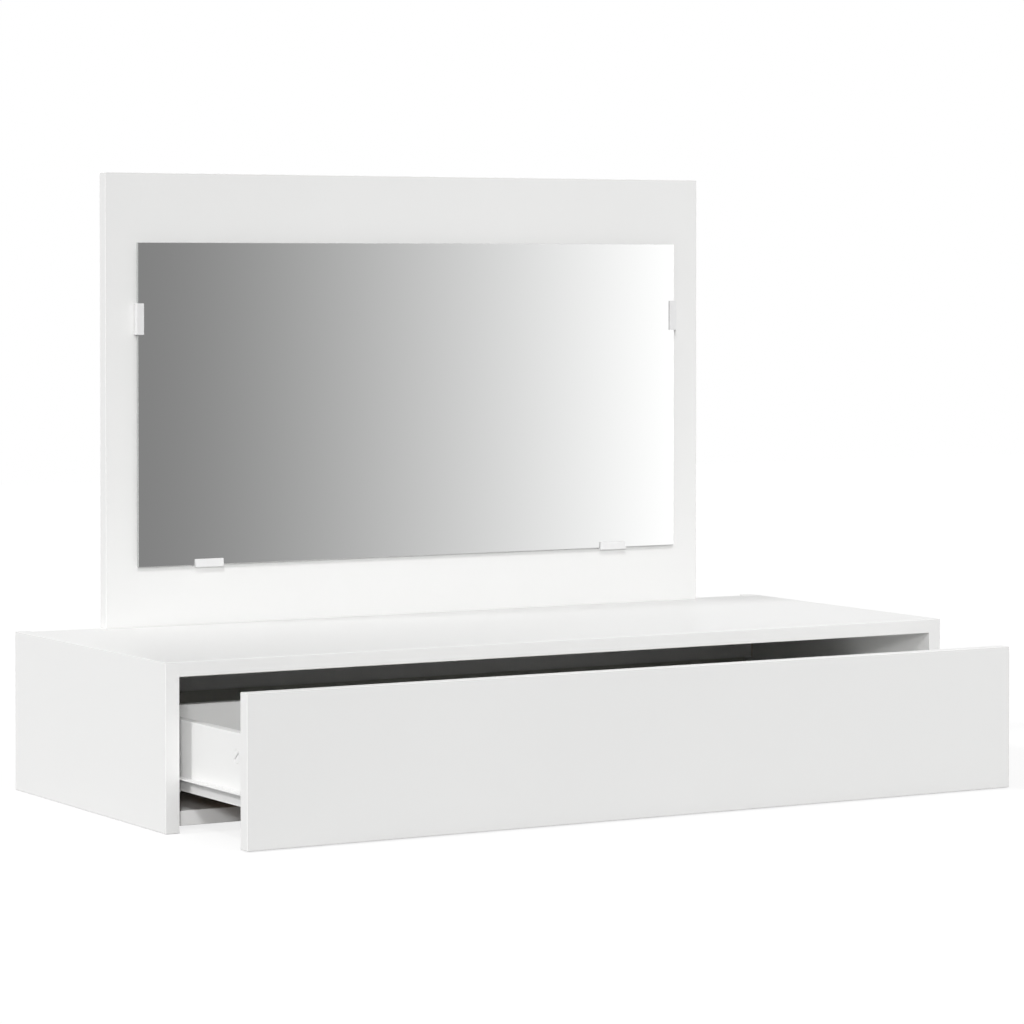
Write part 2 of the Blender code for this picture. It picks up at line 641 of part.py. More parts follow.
def build_drawer_runners():
    """A Z-shaped profile under each drawer side, with its roller at the rear end."""
    tip = CASE_WEB_X - FLANGE_CLEARANCE
    seat_z = DRAWER_LIFT - FIT
    section = (
        (DRAWER_X - DRAWER_FLANGE, FLANGE_UNDER_Z),
        (DRAWER_WEB_X, FLANGE_UNDER_Z),
        (DRAWER_WEB_X, TRACK_Z),
        (tip, TRACK_Z),
        (tip, FLANGE_TOP_Z),
        (DRAWER_X + FIT, FLANGE_TOP_Z),
        (DRAWER_X + FIT, seat_z),
        (DRAWER_X - DRAWER_FLANGE, seat_z),
    )
    place = (0, (DRAWER_Y + DRAWER_REAR_Y) / 2, 0)
    length = DRAWER_REAR_Y - DRAWER_Y
    roller_y = DRAWER_REAR_Y - ROLLER_END
    for name, sign in SIDES:
        outline = [(sign * x, z) for x, z in section]
        label = f"{name}_drawer_runner"
        profile = extruded(label, outline, length, RUNNER_COAT, DRAWER, place, TURN_TO["-Y"])
        web = (sign * DRAWER_WEB_X, roller_y, DRAWER_ROLLER_Z)
        join(profile, axle(f"{name}_drawer_axle", web, into_side(sign), DRAWER))
        roller(f"{name}_drawer_roller", (sign * ROLLER_X, roller_y, DRAWER_ROLLER_Z), DRAWER)
        holes = []
        for label, end in ENDS:
            x = sign * (DRAWER_X - DRAWER_BOARD / 2)
            mouth = (x, drawer_screw_y(end), FLANGE_UNDER_Z)
            radius = RUNNER_SCREW_RADIUS + BORE_CLEARANCE
            holes.append(bore(mouth, "+Z", radius, RUNNER_STEEL + OVERCUT))
            seat = (x, mouth[1], FLANGE_UNDER_Z - SEAT_GAP)
            runner_screw(f"drawer_runner_screw_{name}_{label}", seat, "+Z", DRAWER)
        cut(profile, "screw_holes", holes)


def bottom_groove(low_xy, high_xy):
    """The slot that holds the drawer's thin bottom."""
    low = (*low_xy, DRAWER_BOTTOM_Z - FIT)
    high = (*high_xy, DRAWER_BOTTOM_Z + DRAWER_BOTTOM_THICKNESS + FIT)
    return block(low, high)


def build_drawer_front():
    end_x = INNER_X - FRONT_SIDE_GAP
    low = (-end_x, 0, FRONT_FLOOR_GAP)
    high = (end_x, FRONT_THICKNESS, TOP_UNDER_Z - FRONT_TOP_GAP)
    front = board("drawer_front", low, high, WHITE_BOARD, DRAWER)
    groove_x = DRAWER_INNER_X + GROOVE_DEPTH
    groove_low = (-groove_x, FRONT_THICKNESS - GROOVE_DEPTH)
    holes = [bottom_groove(groove_low, (groove_x, FRONT_THICKNESS + OVERCUT))]
    for name, sign in SIDES:
        joint = (sign * (DRAWER_X - DRAWER_BOARD / 2), FRONT_THICKNESS, DRAWER_CAM_Z)
        holes.append(bore(joint, "-Y", CAM_BOLT_THREAD + BORE_CLEARANCE, CAM_BOLT_THREAD_LENGTH + FIT))
        cam_bolt(f"drawer_cam_bolt_{name}", joint, "+Y", DRAWER)
    cut(front, "groove_and_bores", holes)


def build_drawer_sides():
    cam_y = FRONT_THICKNESS + CAM_BOLT_REACH
    screw_y = DRAWER_BACK_Y + DRAWER_BOARD / 2
    head_depth = BACK_SCREW_HEAD_THICKNESS + 2 * SEAT_GAP
    for name, sign in SIDES:
        low_x, high_x = across(sign, DRAWER_INNER_X, DRAWER_X)
        low = (low_x, DRAWER_Y, DRAWER_LIFT)
        side = board(f"drawer_{name}_side", low, (high_x, DRAWER_REAR_Y, DRAWER_TOP_Z), DRAWER_BOX, DRAWER)
        inward = out_of_side(sign)
        low_x, high_x = across(sign, DRAWER_INNER_X - OVERCUT, DRAWER_INNER_X + GROOVE_DEPTH)
        groove = bottom_groove((low_x, DRAWER_Y - OVERCUT), (high_x, DRAWER_REAR_Y + OVERCUT))
        face = (sign * DRAWER_X, cam_y, DRAWER_CAM_Z)
        screw_mouth = (sign * DRAWER_X, screw_y, BACK_SCREW_Z)
        first = [groove, bore(face, inward, CAM_RADIUS + BORE_CLEARANCE, DRAWER_BOARD / 2 + CAM_REACH + FIT)]
        first.append(bore(screw_mouth, inward, BACK_SCREW_RADIUS + BORE_CLEARANCE, DRAWER_BOARD + OVERCUT))
        middle_x = sign * (DRAWER_X - DRAWER_BOARD / 2)
        for _, end in ENDS:
            mouth = (middle_x, drawer_screw_y(end), DRAWER_LIFT)
            first.append(bore(mouth, "+Z", RUNNER_SCREW_RADIUS + BORE_CLEARANCE, RUNNER_SCREW_LENGTH))
        bolt_mouth = (middle_x, DRAWER_Y, DRAWER_CAM_Z)
        second = [bore(bolt_mouth, "+Y", CAM_BOLT_RADIUS + BORE_CLEARANCE, CAM_BOLT_REACH)]
        second.append(bore(screw_mouth, inward, BACK_SCREW_HEAD + BORE_CLEARANCE, head_depth))
        cut(side, "groove_and_bores", first)
        cut(side, "bolt_bore_and_counterbore", second)
        cam_lock(f"drawer_cam_lock_{name}", face, into_side(sign), DRAWER_BOARD / 2, (0, -1, 0), DRAWER)
        seat = (sign * (DRAWER_X - head_depth + SEAT_GAP), screw_y, BACK_SCREW_Z)
        sizes = (BACK_SCREW_RADIUS, BACK_SCREW_HEAD, BACK_SCREW_HEAD_THICKNESS, BACK_SCREW_LENGTH)
        headed_screw(f"drawer_back_screw_{name}", seat, inward, *sizes, DRAWER)


def build_drawer_back_and_bottom():
    end_x = DRAWER_INNER_X - FIT
    low = (-end_x, DRAWER_BACK_Y, DRAWER_LIFT)
    back = board("drawer_back", low, (end_x, DRAWER_REAR_Y, DRAWER_TOP_Z), DRAWER_BOX, DRAWER)
    groove_low = (-DRAWER_INNER_X - OVERCUT, DRAWER_BACK_Y - OVERCUT)
    holes = [bottom_groove(groove_low, (DRAWER_INNER_X + OVERCUT, DRAWER_BACK_Y + GROOVE_DEPTH))]
    for _, sign in SIDES:
        mouth = (sign * DRAWER_INNER_X, DRAWER_BACK_Y + DRAWER_BOARD / 2, BACK_SCREW_Z)
        holes.append(bore(mouth, out_of_side(sign), BACK_SCREW_RADIUS + BORE_CLEARANCE, BACK_SCREW_LENGTH))
    cut(back, "groove_and_bores", holes)
    panel_x = DRAWER_INNER_X + GROOVE_DEPTH - GROOVE_PLAY
    low = (-panel_x, FRONT_THICKNESS - GROOVE_DEPTH + GROOVE_PLAY, DRAWER_BOTTOM_Z)
    high = (panel_x, DRAWER_BACK_Y + GROOVE_DEPTH - GROOVE_PLAY, DRAWER_BOTTOM_Z + DRAWER_BOTTOM_THICKNESS)
    board("drawer_bottom", low, high, HARDBOARD, DRAWER, edge=0)


def clip_places():
    """Each clip's name, the point of the glass's edge that it holds, its turn and its inward direction."""
    side_z = GLASS_HIGH_Z - SIDE_CLIP_DROP
    bottom_x = GLASS_X - BOTTOM_CLIP_INSET
    return (
        ("left", Vector((-GLASS_X, MIRROR_FRONT_Y, side_z)), (0, 0, 0), Vector((1, 0, 0))),
        ("right", Vector((GLASS_X, MIRROR_FRONT_Y, side_z)), (0, math.pi, 0), Vector((-1, 0, 0))),
        ("bottom_left", Vector((-bottom_x, MIRROR_FRONT_Y, GLASS_LOW_Z)), TURN_TO["-X"], UP),
        ("bottom_right", Vector((bottom_x, MIRROR_FRONT_Y, GLASS_LOW_Z)), TURN_TO["-X"], UP),
    )


def build_mirror(top):
    """The board on the case's top, its screws from below, and the glass in its clips."""
    low = (-MIRROR_X, MIRROR_FRONT_Y, MIRROR_FOOT_Z)
    carrier = board("mirror_board", low, (MIRROR_X, REAR_Y, MIRROR_FOOT_Z + MIRROR_BOARD_HEIGHT), WHITE_BOARD)
    low = (-GLASS_X, MIRROR_FRONT_Y - GLASS_FRONT, GLASS_LOW_Z)
    board("mirror_glass", low, (GLASS_X, MIRROR_FRONT_Y - GLASS_BACK, GLASS_HIGH_Z), MIRROR)

    head_depth = MIRROR_SCREW_HEAD_THICKNESS + 2 * SEAT_GAP
    seat_z = TOP_UNDER_Z + head_depth - SEAT_GAP
    screw_y = MIRROR_FRONT_Y + BOARD / 2
    shank = MIRROR_SCREW_RADIUS + BORE_CLEARANCE
    reach = seat_z + MIRROR_SCREW_LENGTH - MIRROR_FOOT_Z + FIT
    sizes = (MIRROR_SCREW_RADIUS, MIRROR_SCREW_HEAD, MIRROR_SCREW_HEAD_THICKNESS, MIRROR_SCREW_LENGTH)
    carrier_holes = []
    top_holes = []
    top_counterbores = []
    for name, sign in (*SIDES, ("middle", 0)):
        x = sign * (MIRROR_X - MIRROR_SCREW_INSET)
        headed_screw(f"mirror_board_screw_{name}", (x, screw_y, seat_z), "+Z", *sizes, TABLE)
        top_holes.append(bore((x, screw_y, TOP_UNDER_Z), "+Z", shank, BOARD + OVERCUT))
        head = MIRROR_SCREW_HEAD + BORE_CLEARANCE
        top_counterbores.append(bore((x, screw_y, TOP_UNDER_Z), "+Z", head, head_depth))
        carrier_holes.append(bore((x, screw_y, MIRROR_FOOT_Z), "+Z", shank, reach))
    cut(top, "mirror_screw_bores", top_holes)
    cut(top, "mirror_screw_counterbores", top_counterbores)
    for name, edge, turn, inward in clip_places():
        carrier_holes.append(build_clip(name, edge, turn, inward))
    cut(carrier, "screw_bores", carrier_holes)


def build_clip(name, edge, turn, inward):
    """One J-shaped mirror clip and its screw. Gives back the screw's bore in the mirror board."""
    outer = -FIT - CLIP_WALL
    lip_back = -(GLASS_FRONT + FIT)
    lip_front = lip_back - CLIP_LIP_THICKNESS
    leg_front = -FIT - CLIP_LEG_THICKNESS
    section = (
        (outer, -FIT),
        (CLIP_LEG, -FIT),
        (CLIP_LEG, leg_front),
        (-FIT, leg_front),
        (-FIT, lip_back),
        (CLIP_LIP, lip_back),
        (CLIP_LIP, lip_front),
        (outer, lip_front),
    )
    clip = extruded(f"mirror_clip_{name}", section, CLIP_LENGTH, CLIP_PLASTIC, TABLE, edge, turn)
    bevel(clip, CLIP_ROUND)
    mouth = edge + inward * CLIP_SCREW_INSET + Vector((0, leg_front, 0))
    head_depth = CLIP_SCREW_HEAD_THICKNESS + 2 * SEAT_GAP
    shank = CLIP_SCREW_RADIUS + BORE_CLEARANCE
    cut(clip, "screw_hole", [bore(mouth, "+Y", shank, CLIP_LEG_THICKNESS + OVERCUT)])
    cut(clip, "counterbore", [bore(mouth, "+Y", CLIP_SCREW_HEAD + BORE_CLEARANCE, head_depth)])
    seat = mouth + Vector((0, head_depth - SEAT_GAP, 0))
    sizes = (CLIP_SCREW_RADIUS, CLIP_SCREW_HEAD, CLIP_SCREW_HEAD_THICKNESS, CLIP_SCREW_LENGTH)
    headed_screw(f"mirror_clip_screw_{name}", seat, "+Y", *sizes, TABLE)
    return bore((mouth.x, MIRROR_FRONT_Y, mouth.z), "+Y", shank, CLIP_SCREW_LENGTH)


build_sides()
build_bottom()
build_back()
build_case_runners()
build_drawer_front()
build_drawer_sides()
build_drawer_back_and_bottom()
build_drawer_runners()
build_mirror(build_top())
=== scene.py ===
# %% [markdown]
# # A wall-hung dressing table with a mirror
# The real thing is a shallow case of white-faced chipboard, 1 m wide, with one wide drawer
# that stands open, and an upright board at its rear that carries a mirror in four clips.
# The engineering model gives every board, screw and roller in metres, in one shared frame.
# This lesson dresses that model: each step takes one piece or finish, and shows how to make
# it look like the real one from every side.

# %% Load the engineering model
import math

import bmesh
import bpy
from mathutils import Matrix, Vector


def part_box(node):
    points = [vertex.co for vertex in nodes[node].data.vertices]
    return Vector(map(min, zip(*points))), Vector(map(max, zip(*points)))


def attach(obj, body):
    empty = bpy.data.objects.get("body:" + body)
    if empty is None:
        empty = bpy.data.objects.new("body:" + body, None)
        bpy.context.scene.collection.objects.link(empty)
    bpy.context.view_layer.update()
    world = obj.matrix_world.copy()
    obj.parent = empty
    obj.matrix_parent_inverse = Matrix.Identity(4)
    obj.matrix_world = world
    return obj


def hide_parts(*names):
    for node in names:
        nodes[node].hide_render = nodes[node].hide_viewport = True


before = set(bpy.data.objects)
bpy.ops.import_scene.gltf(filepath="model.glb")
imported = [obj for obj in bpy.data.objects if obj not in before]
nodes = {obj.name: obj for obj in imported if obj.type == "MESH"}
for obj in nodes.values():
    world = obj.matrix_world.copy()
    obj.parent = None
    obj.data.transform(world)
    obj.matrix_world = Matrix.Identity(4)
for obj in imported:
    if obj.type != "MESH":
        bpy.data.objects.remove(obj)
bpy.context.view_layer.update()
MM = 0.001
print("pieces in the frame:", len(nodes))

# %% [markdown]
# ## The camera
# The table was seen from the front left, a little above the top. Its upright edges stay
# nearly parallel, as with a camera that is held level and has its lens moved down. A large
# shift would push the table out of the picture in other views, so part of it is a small tilt
# instead. The long lens keeps the case's edges almost straight across the picture.

# %% Camera
EYE = (-2.20353, -3.76420, 0.59091)
TURN, TILT = 30.2263, 1.3376
SENSOR, LENS, SHIFT = 36, 135.282, -0.15

bpy.ops.object.select_all(action="DESELECT")
bpy.ops.object.camera_add(
    location=EYE, rotation=(math.radians(90 - TILT), 0, math.radians(-TURN))
)
camera = bpy.context.object
camera.name = "camera"
camera.data.sensor_width = SENSOR
camera.data.lens = LENS
camera.data.shift_y = SHIFT
bpy.context.scene.camera = camera
bpy.context.scene.view_settings.view_transform = "Standard"
print("camera at", [round(part, 3) for part in camera.location])

# %% [markdown]
# ## Writing finishes as sums
# A finish is a small tree of nodes. Placed by hand, a dozen Math nodes hide what they work
# out, so one class wraps a node's output: adding or comparing two wires adds the Math node.
# All other nodes come from one method, which takes the node's type, its settings and what
# feeds its sockets. A Mix node has several sockets of one name, so those go by number.

# %% Wires
FACTOR, LOW_COLOUR, HIGH_COLOUR, MIXED_COLOUR = 0, 6, 7, 2


class Wire:
    """One output of a node, which can be added, multiplied and compared like a number."""

    def __init__(self, tree, socket=None):
        self.tree, self.socket = tree, socket

    def node(self, kind, settings=None, sockets=None, output=0):
        made = self.tree.nodes.new("ShaderNode" + kind)
        for name, value in (settings or {}).items():
            setattr(made, name, value)
        for name, value in (sockets or {}).items():
            if isinstance(value, Wire):
                self.tree.links.new(value.socket, made.inputs[name])
            else:
                made.inputs[name].default_value = value
        return Wire(self.tree, made.outputs[output]) if made.outputs else None

    def math(self, operation, *values):
        return self.node("Math", {"operation": operation}, dict(enumerate(values)))

    def __add__(self, other):
        return self.math("ADD", self, other)

    def __sub__(self, other):
        return self.math("SUBTRACT", self, other)

    def __rsub__(self, other):
        return self.math("SUBTRACT", other, self)

    def __mul__(self, other):
        return self.math("MULTIPLY", self, other)

    def __lt__(self, other):
        return self.math("LESS_THAN", self, other)

    def __gt__(self, other):
        return self.math("GREATER_THAN", self, other)

    def __abs__(self):
        return self.math("ABSOLUTE", self)

    def either(self, other):
        return self.math("MAXIMUM", self, other)

    def mix(self, low, high):
        """A colour: low where this mask is 0, high where it is 1."""
        sockets = {FACTOR: self, LOW_COLOUR: low, HIGH_COLOUR: high}
        return self.node("Mix", {"data_type": "RGBA"}, sockets, MIXED_COLOUR)

    __radd__ = __add__
    __rmul__ = __mul__


# %% [markdown]
# ## Beginning and closing a finish
# Every finish here begins with the place on the piece in metres, and ends in one shader. The
# pieces could be unwrapped and given pictures, but noise that reads a place fits every piece
# at once, keeps its true size, and has no seams. A few small helpers take up what repeats.

# %% Finish helpers
def rgb(red, green, blue):
    return (red, green, blue, 1.0)


def begin(name):
    """A bare material, a wire to hang nodes on, and the place on the piece in metres."""
    finish = bpy.data.materials.new(name)
    finish.use_nodes = True
    finish.node_tree.nodes.clear()
    start = Wire(finish.node_tree)
    return finish, start, start.node("TexCoord", output="Object")


def along(start, place):
    """The three parts of a place as wires."""
    return [start.node("SeparateXYZ", sockets={0: place}, output=part) for part in "XYZ"]


def grain(start, place, size, detail=2.0, stretch=(1, 1, 1)):
    """Cloudy noise from 0 to 1 whose clouds measure about this many metres."""
    turned = start.node("Mapping", sockets={"Vector": place, "Scale": stretch})
    sockets = {"Vector": turned, "Scale": 1 / size, "Detail": detail}
    return start.node("TexNoise", sockets=sockets)


def surface(start, colour, roughness, height=None, depth=0.0, metallic=0.0):
    """Closes a finish: the shader, an optional relief of this depth in metres, the output."""
    sockets = {"Base Color": colour, "Roughness": roughness, "Metallic": metallic}
    if height is not None:
        sockets["Normal"] = start.node(
            "Bump", sockets={"Strength": 1.0, "Distance": depth, "Height": height}
        )
    shader = start.node("BsdfPrincipled", sockets=sockets)
    start.node("OutputMaterial", sockets={"Surface": shader})


# %% [markdown]
# ## Chipboard
# Under their white faces the boards are wood flakes, pressed with glue. The flakes show only
# where an edge is left raw, against the wall. Modelled one by one they would be thousands of
# faces, so cells of random tone give the flakes, and finer noise gives the fibres in them.

# %% Chipboard
FLAKES_PER_METRE, WOOD_FIBRE = 420.0, 0.6 * MM
DARK_FLAKE, PALE_FLAKE = rgb(0.25, 0.155, 0.075), rgb(0.62, 0.46, 0.28)


def chipboard(start, place):
    """Pressed wood flakes: a colour and a relief."""
    flakes = start.node(
        "TexVoronoi",
        {"feature": "F1"},
        {"Vector": place, "Scale": FLAKES_PER_METRE, "Randomness": 1.0},
        "Color",
    )
    tone = along(start, flakes)[0]
    fibre = grain(start, place, WOOD_FIBRE, 3.0)
    shade = (tone * 0.7 + fibre * 0.3).mix(DARK_FLAKE, PALE_FLAKE)
    return shade, tone * 0.6 + fibre * 0.4


# %% [markdown]
# ## White melamine
# The boards' faces are sheets of white paper soaked in resin. They have a very fine pearl
# texture that spreads the highlights, and the white is never quite even. The cut edges carry
# a glued plastic strip: one hair-thin joint shows beside each arris. The strips could be
# pieces of their own, but all that shows of one is its joint, so a line at a set distance
# from the board's end is enough. The rear edges have no strip, and show the chipboard.

# %% Melamine
WHITE = (0.860, 0.860, 0.853)
DULLEST, CLEANEST = 0.988, 1.008
CLOUD, PEARL, PEARL_HIGH = 160 * MM, 0.7 * MM, 0.012 * MM
BAND, HAIRLINE, JOINT_GREY = 0.9 * MM, 0.07 * MM, rgb(0.60, 0.58, 0.55)
RAW_DEEP, RAW_ROUGH, RAW_HIGH = 0.5 * MM, 0.45, 4.0
X, Y, Z = 0, 1, 2
LOW, HIGH = 0, 1


def melamine(name, board, bands=(), raw=(), tone=1.0):
    """White board finish. Bands and raw edges are given as (axis, LOW or HIGH end)."""
    finish, start, place = begin(name)
    parts = along(start, place)
    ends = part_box(board)
    cloud = grain(start, place, CLOUD)
    pearl = grain(start, place, PEARL, 1.0)
    dull, clean = ([part * tone * share for part in WHITE] for share in (DULLEST, CLEANEST))
    colour = cloud.mix(rgb(*dull), rgb(*clean))
    rough = 0.36 + (cloud - 0.5) * 0.10 + (pearl - 0.5) * 0.06
    height = pearl
    for axis, end in bands:
        inward = BAND if end == LOW else -BAND
        joint = abs(parts[axis] - (ends[end][axis] + inward)) < HAIRLINE
        colour = joint.mix(colour, JOINT_GREY)
        height = height - joint * 0.5
    if raw:
        shade, relief = chipboard(start, place)
        open_edge = None
        for axis, end in raw:
            edge, part = ends[end][axis], parts[axis]
            here = part > edge - RAW_DEEP if end == HIGH else part < edge + RAW_DEEP
            open_edge = here if open_edge is None else open_edge.either(here)
        colour = open_edge.mix(colour, shade)
        rough = rough + open_edge * RAW_ROUGH
        height = height + open_edge * relief * RAW_HIGH
    surface(start, colour, rough, height, PEARL_HIGH)
    return finish


# %% [markdown]
# ## Picking by place
# At the screen, faces and points are clicked. A script has no pointer, so it asks each part
# of the mesh where it is and which way it faces, and selects those that pass a test. Numbers
# of faces could be typed in instead, but they change as soon as a size does.

# %% Selecting
MODES = {"faces": "FACE", "edges": "EDGE", "verts": "VERT"}


def only(piece):
    """Selects this one object and makes it the active one."""
    bpy.ops.object.select_all(action="DESELECT")
    piece.select_set(True)
    bpy.context.view_layer.objects.active = piece


def pick(piece, wanted, kind="faces"):
    """In edit mode, selects faces by middle and normal, or edges or points by place."""
    bpy.ops.mesh.select_mode(type=MODES[kind])
    bpy.ops.mesh.select_all(action="DESELECT")
    mesh = bmesh.from_edit_mesh(piece.data)
    mesh.normal_update()
    for part in getattr(mesh, kind):
        if kind == "faces":
            chosen = wanted(part.calc_center_median(), part.normal)
        elif kind == "edges":
            chosen = wanted((part.verts[0].co + part.verts[1].co) / 2, part)
        else:
            chosen = wanted(part.co, part)
        part.select_set(chosen)
    mesh.select_flush_mode()
    bmesh.update_edit_mesh(piece.data)


# %% [markdown]
# ## Dressing the boards
# The engineering model's boards already have their true size, rounded arrises, bores and
# grooves, so they are worth keeping. But they come as loose triangles with hard edges, and a
# real arris is a soft line that catches the light. Each board is copied, its triangles are
# welded and dissolved into clean faces, and weighted normals make the narrow arris faces roll
# over smoothly while the broad faces stay flat.

# %% Helpers for dressing
WELD, FLAT, ARRIS = 0.002 * MM, math.radians(0.5), 1.0 * MM


def roll_arrises(piece, angle=50):
    """Smooth over narrow faces, flat on broad ones."""
    only(piece)
    bpy.ops.object.shade_smooth_by_angle(angle=math.radians(angle))
    bpy.ops.object.modifier_add(type="WEIGHTED_NORMAL")
    piece.modifiers[-1].keep_sharp = True
    bpy.ops.object.modifier_apply(modifier=piece.modifiers[-1].name)


def seat(piece, body, finish, slot, *stands_for):
    """Gives a finished piece its material and its place in the frame."""
    piece.data.materials.clear()
    piece.data.materials.append(finish)
    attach(piece, body)
    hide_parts(*stands_for)
    return piece


def welded_copy(node, name):
    """A copy of a node's mesh, welded and with its triangles dissolved into faces."""
    piece = bpy.data.objects.new(name, nodes[node].data.copy())
    bpy.context.scene.collection.objects.link(piece)
    only(piece)
    bpy.ops.object.mode_set(mode="EDIT")
    bpy.ops.mesh.select_all(action="SELECT")
    bpy.ops.mesh.customdata_custom_splitnormals_clear()
    bpy.ops.mesh.remove_doubles(threshold=WELD)
    bpy.ops.mesh.dissolve_limited(angle_limit=FLAT)
    bpy.ops.object.mode_set(mode="OBJECT")
    return piece


def square_off(piece, axis, arris, plane, near=lambda place: True):
    """Flattens a rounded arris onto a plane, so that a joint there closes tightly."""
    only(piece)
    bpy.ops.object.mode_set(mode="EDIT")
    pick(piece, lambda place, point: abs(place[axis] - arris) < ARRIS and near(place), "verts")
    flat = [0 if k == axis else 1 for k in range(3)]
    bpy.ops.transform.resize(value=flat, center_override=[plane * (1 - f) for f in flat])
    bpy.ops.mesh.select_all(action="SELECT")
    bpy.ops.mesh.remove_doubles(threshold=WELD)
    bpy.ops.object.mode_set(mode="OBJECT")


def dress(node, body, finish, slot, tight=()):
    """A board of the frame with soft arrises, tight joints and its finish."""
    piece = welded_copy(node, node + "_dressed")
    for joint in tight:
        square_off(piece, *joint)
    roll_arrises(piece)
    return seat(piece, body, finish, slot, node)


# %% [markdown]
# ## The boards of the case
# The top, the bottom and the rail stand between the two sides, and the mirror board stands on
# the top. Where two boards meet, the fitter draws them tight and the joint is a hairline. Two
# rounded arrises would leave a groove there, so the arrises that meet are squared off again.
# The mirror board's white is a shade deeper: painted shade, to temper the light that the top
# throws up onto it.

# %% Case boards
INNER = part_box("right_side_panel")[0].x
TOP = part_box("top_panel")[1].z
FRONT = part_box("top_panel")[0].y
TOP_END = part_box("top_panel")[1].x
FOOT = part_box("mirror_board")[0].z
HAIR, BESIDE = 0.04 * MM, 1.2 * MM


def beside_top(place):
    """The part of a side panel's inner arrises that the top and its front edge meet."""
    return place.z > TOP - BESIDE or place.y < FRONT + BESIDE


between_sides = [(X, TOP_END, INNER - HAIR), (X, -TOP_END, HAIR - INNER)]
TIGHT = {
    "left_side_panel": [(X, -INNER, -INNER, beside_top)],
    "right_side_panel": [(X, INNER, INNER, beside_top)],
    "top_panel": between_sides,
    "bottom_panel": between_sides,
    "hanging_rail": between_sides,
    "mirror_board": [(Z, FOOT, TOP + HAIR)],
}
BOARDS = {
    "left_side_panel": ([(Y, LOW), (Z, LOW), (Z, HIGH)], [(Y, HIGH)]),
    "right_side_panel": ([(Y, LOW), (Z, LOW), (Z, HIGH)], [(Y, HIGH)]),
    "top_panel": ([(Y, LOW)], [(Y, HIGH)]),
    "bottom_panel": ([(Y, LOW)], [(Y, HIGH)]),
    "hanging_rail": ([(Z, LOW)], [(X, LOW), (X, HIGH)]),
    "mirror_board": ([(X, LOW), (X, HIGH), (Z, LOW), (Z, HIGH)], []),
}
# Painted shade: the mirror board's white is toned down against the light thrown up from the top.
PAINTED_SHADE_TONES = {"mirror_board": 0.972}
for board, (bands, raw) in BOARDS.items():
    finish = melamine("melamine_" + board, board, bands, raw, PAINTED_SHADE_TONES.get(board, 1.0))
    piece = dress(board, "case", finish, "white_melamine", TIGHT[board])
    print(piece.name, len(piece.data.polygons), "faces")

# %% [markdown]
# ## The drawer
# Its front is the same white board with bands all round. The sides and the back are thinner
# boards wrapped in white foil: smoother than melamine, with a faint long grain pressed in.
# Scratches drawn one by one would be too many, so the grain is noise that is stretched along
# the board. The sides run from front to rear and the back runs across, so there are two.

# %% Drawer boards
FOIL_LINE, FOIL_CLOUD, FOIL_DEEP = 1.6 * MM, 90 * MM, 0.02 * MM
FOIL_STRETCH = 0.04
DULL_FOIL, CLEAN_FOIL = rgb(0.845, 0.845, 0.838), rgb(0.875, 0.875, 0.868)


def foil(name, lengthwise):
    """White foil with a faint grain that runs along one axis."""
    finish, start, place = begin(name)
    stretch = [FOIL_STRETCH if axis == lengthwise else 1.0 for axis in (X, Y, Z)]
    lines = grain(start, place, FOIL_LINE, 3.0, stretch)
    cloud = grain(start, place, FOIL_CLOUD)
    colour = (cloud * 0.5 + lines * 0.5).mix(DULL_FOIL, CLEAN_FOIL)
    surface(start, colour, 0.34 + (lines - 0.5) * 0.10, lines, FOIL_DEEP)
    return finish


front_bands = [(axis, end) for axis in (X, Z) for end in (LOW, HIGH)]
front_finish = melamine("melamine_drawer_front", "drawer_front", front_bands)
dress("drawer_front", "drawer", front_finish, "white_melamine")
long_foil = foil("drawer_foil_along", Y)
cross_foil = foil("drawer_foil_across", X)
for board, finish in (
    ("drawer_left_side", long_foil),
    ("drawer_right_side", long_foil),
    ("drawer_back", cross_foil),
):
    piece = dress(board, "drawer", finish, "white_drawer_board")
    print(piece.name, len(piece.data.polygons), "faces")

# %% [markdown]
# ## Hardboard
# The back of the case and the drawer's bottom are thin sheets of pressed fibre. One face is
# lacquered: white on the drawer's bottom, and a grey with an olive cast on the case's back, as
# painted shade inside the case. The other is brown and keeps the imprint of the wire screen on
# which the wet fibres were pressed, a fine square mesh. Modelled, that mesh would be a million
# faces; two crossed waves give it as a relief, and noise breaks it up.

# %% Hardboard
PULP, PATCH, SCREEN, SCREEN_DEEP = 0.9 * MM, 60 * MM, 1.4 * MM, 0.06 * MM
DARK_PULP, PALE_PULP = rgb(0.17, 0.095, 0.045), rgb(0.42, 0.27, 0.15)
# The case back's lacquer is a grey with an olive cast: painted shade for the inside of the case.
SHADED_BACK_LACQUER, BOTTOM_LACQUER, DULLED = (0.62, 0.62, 0.57), (0.84, 0.84, 0.83), 0.98
SKIN = 0.3 * MM


def hardboard(name, white_face, screen_axes, lacquer):
    """Lacquered where white_face(parts) is 1, and bare fibre elsewhere."""
    finish, start, place = begin(name)
    parts = along(start, place)
    white = white_face(parts)
    bare = 1 - white
    fibre = grain(start, place, PULP, 4.0)
    cloud = grain(start, place, PATCH, 3.0)
    turns = [parts[axis] * (2 * math.pi / SCREEN) for axis in screen_axes]
    waves = [turn.math("SINE", turn) for turn in turns]
    mesh = (waves[0] * waves[1]) * 0.5 + 0.5
    brown = (fibre * 0.5 + cloud * 0.3 + mesh * 0.2).mix(DARK_PULP, PALE_PULP)
    coat = cloud.mix(rgb(*(part * DULLED for part in lacquer)), rgb(*lacquer))
    height = fibre * 0.3 + bare * mesh * 0.7
    surface(start, white.mix(brown, coat), 0.42 + bare * 0.4, height, SCREEN_DEEP)
    return finish


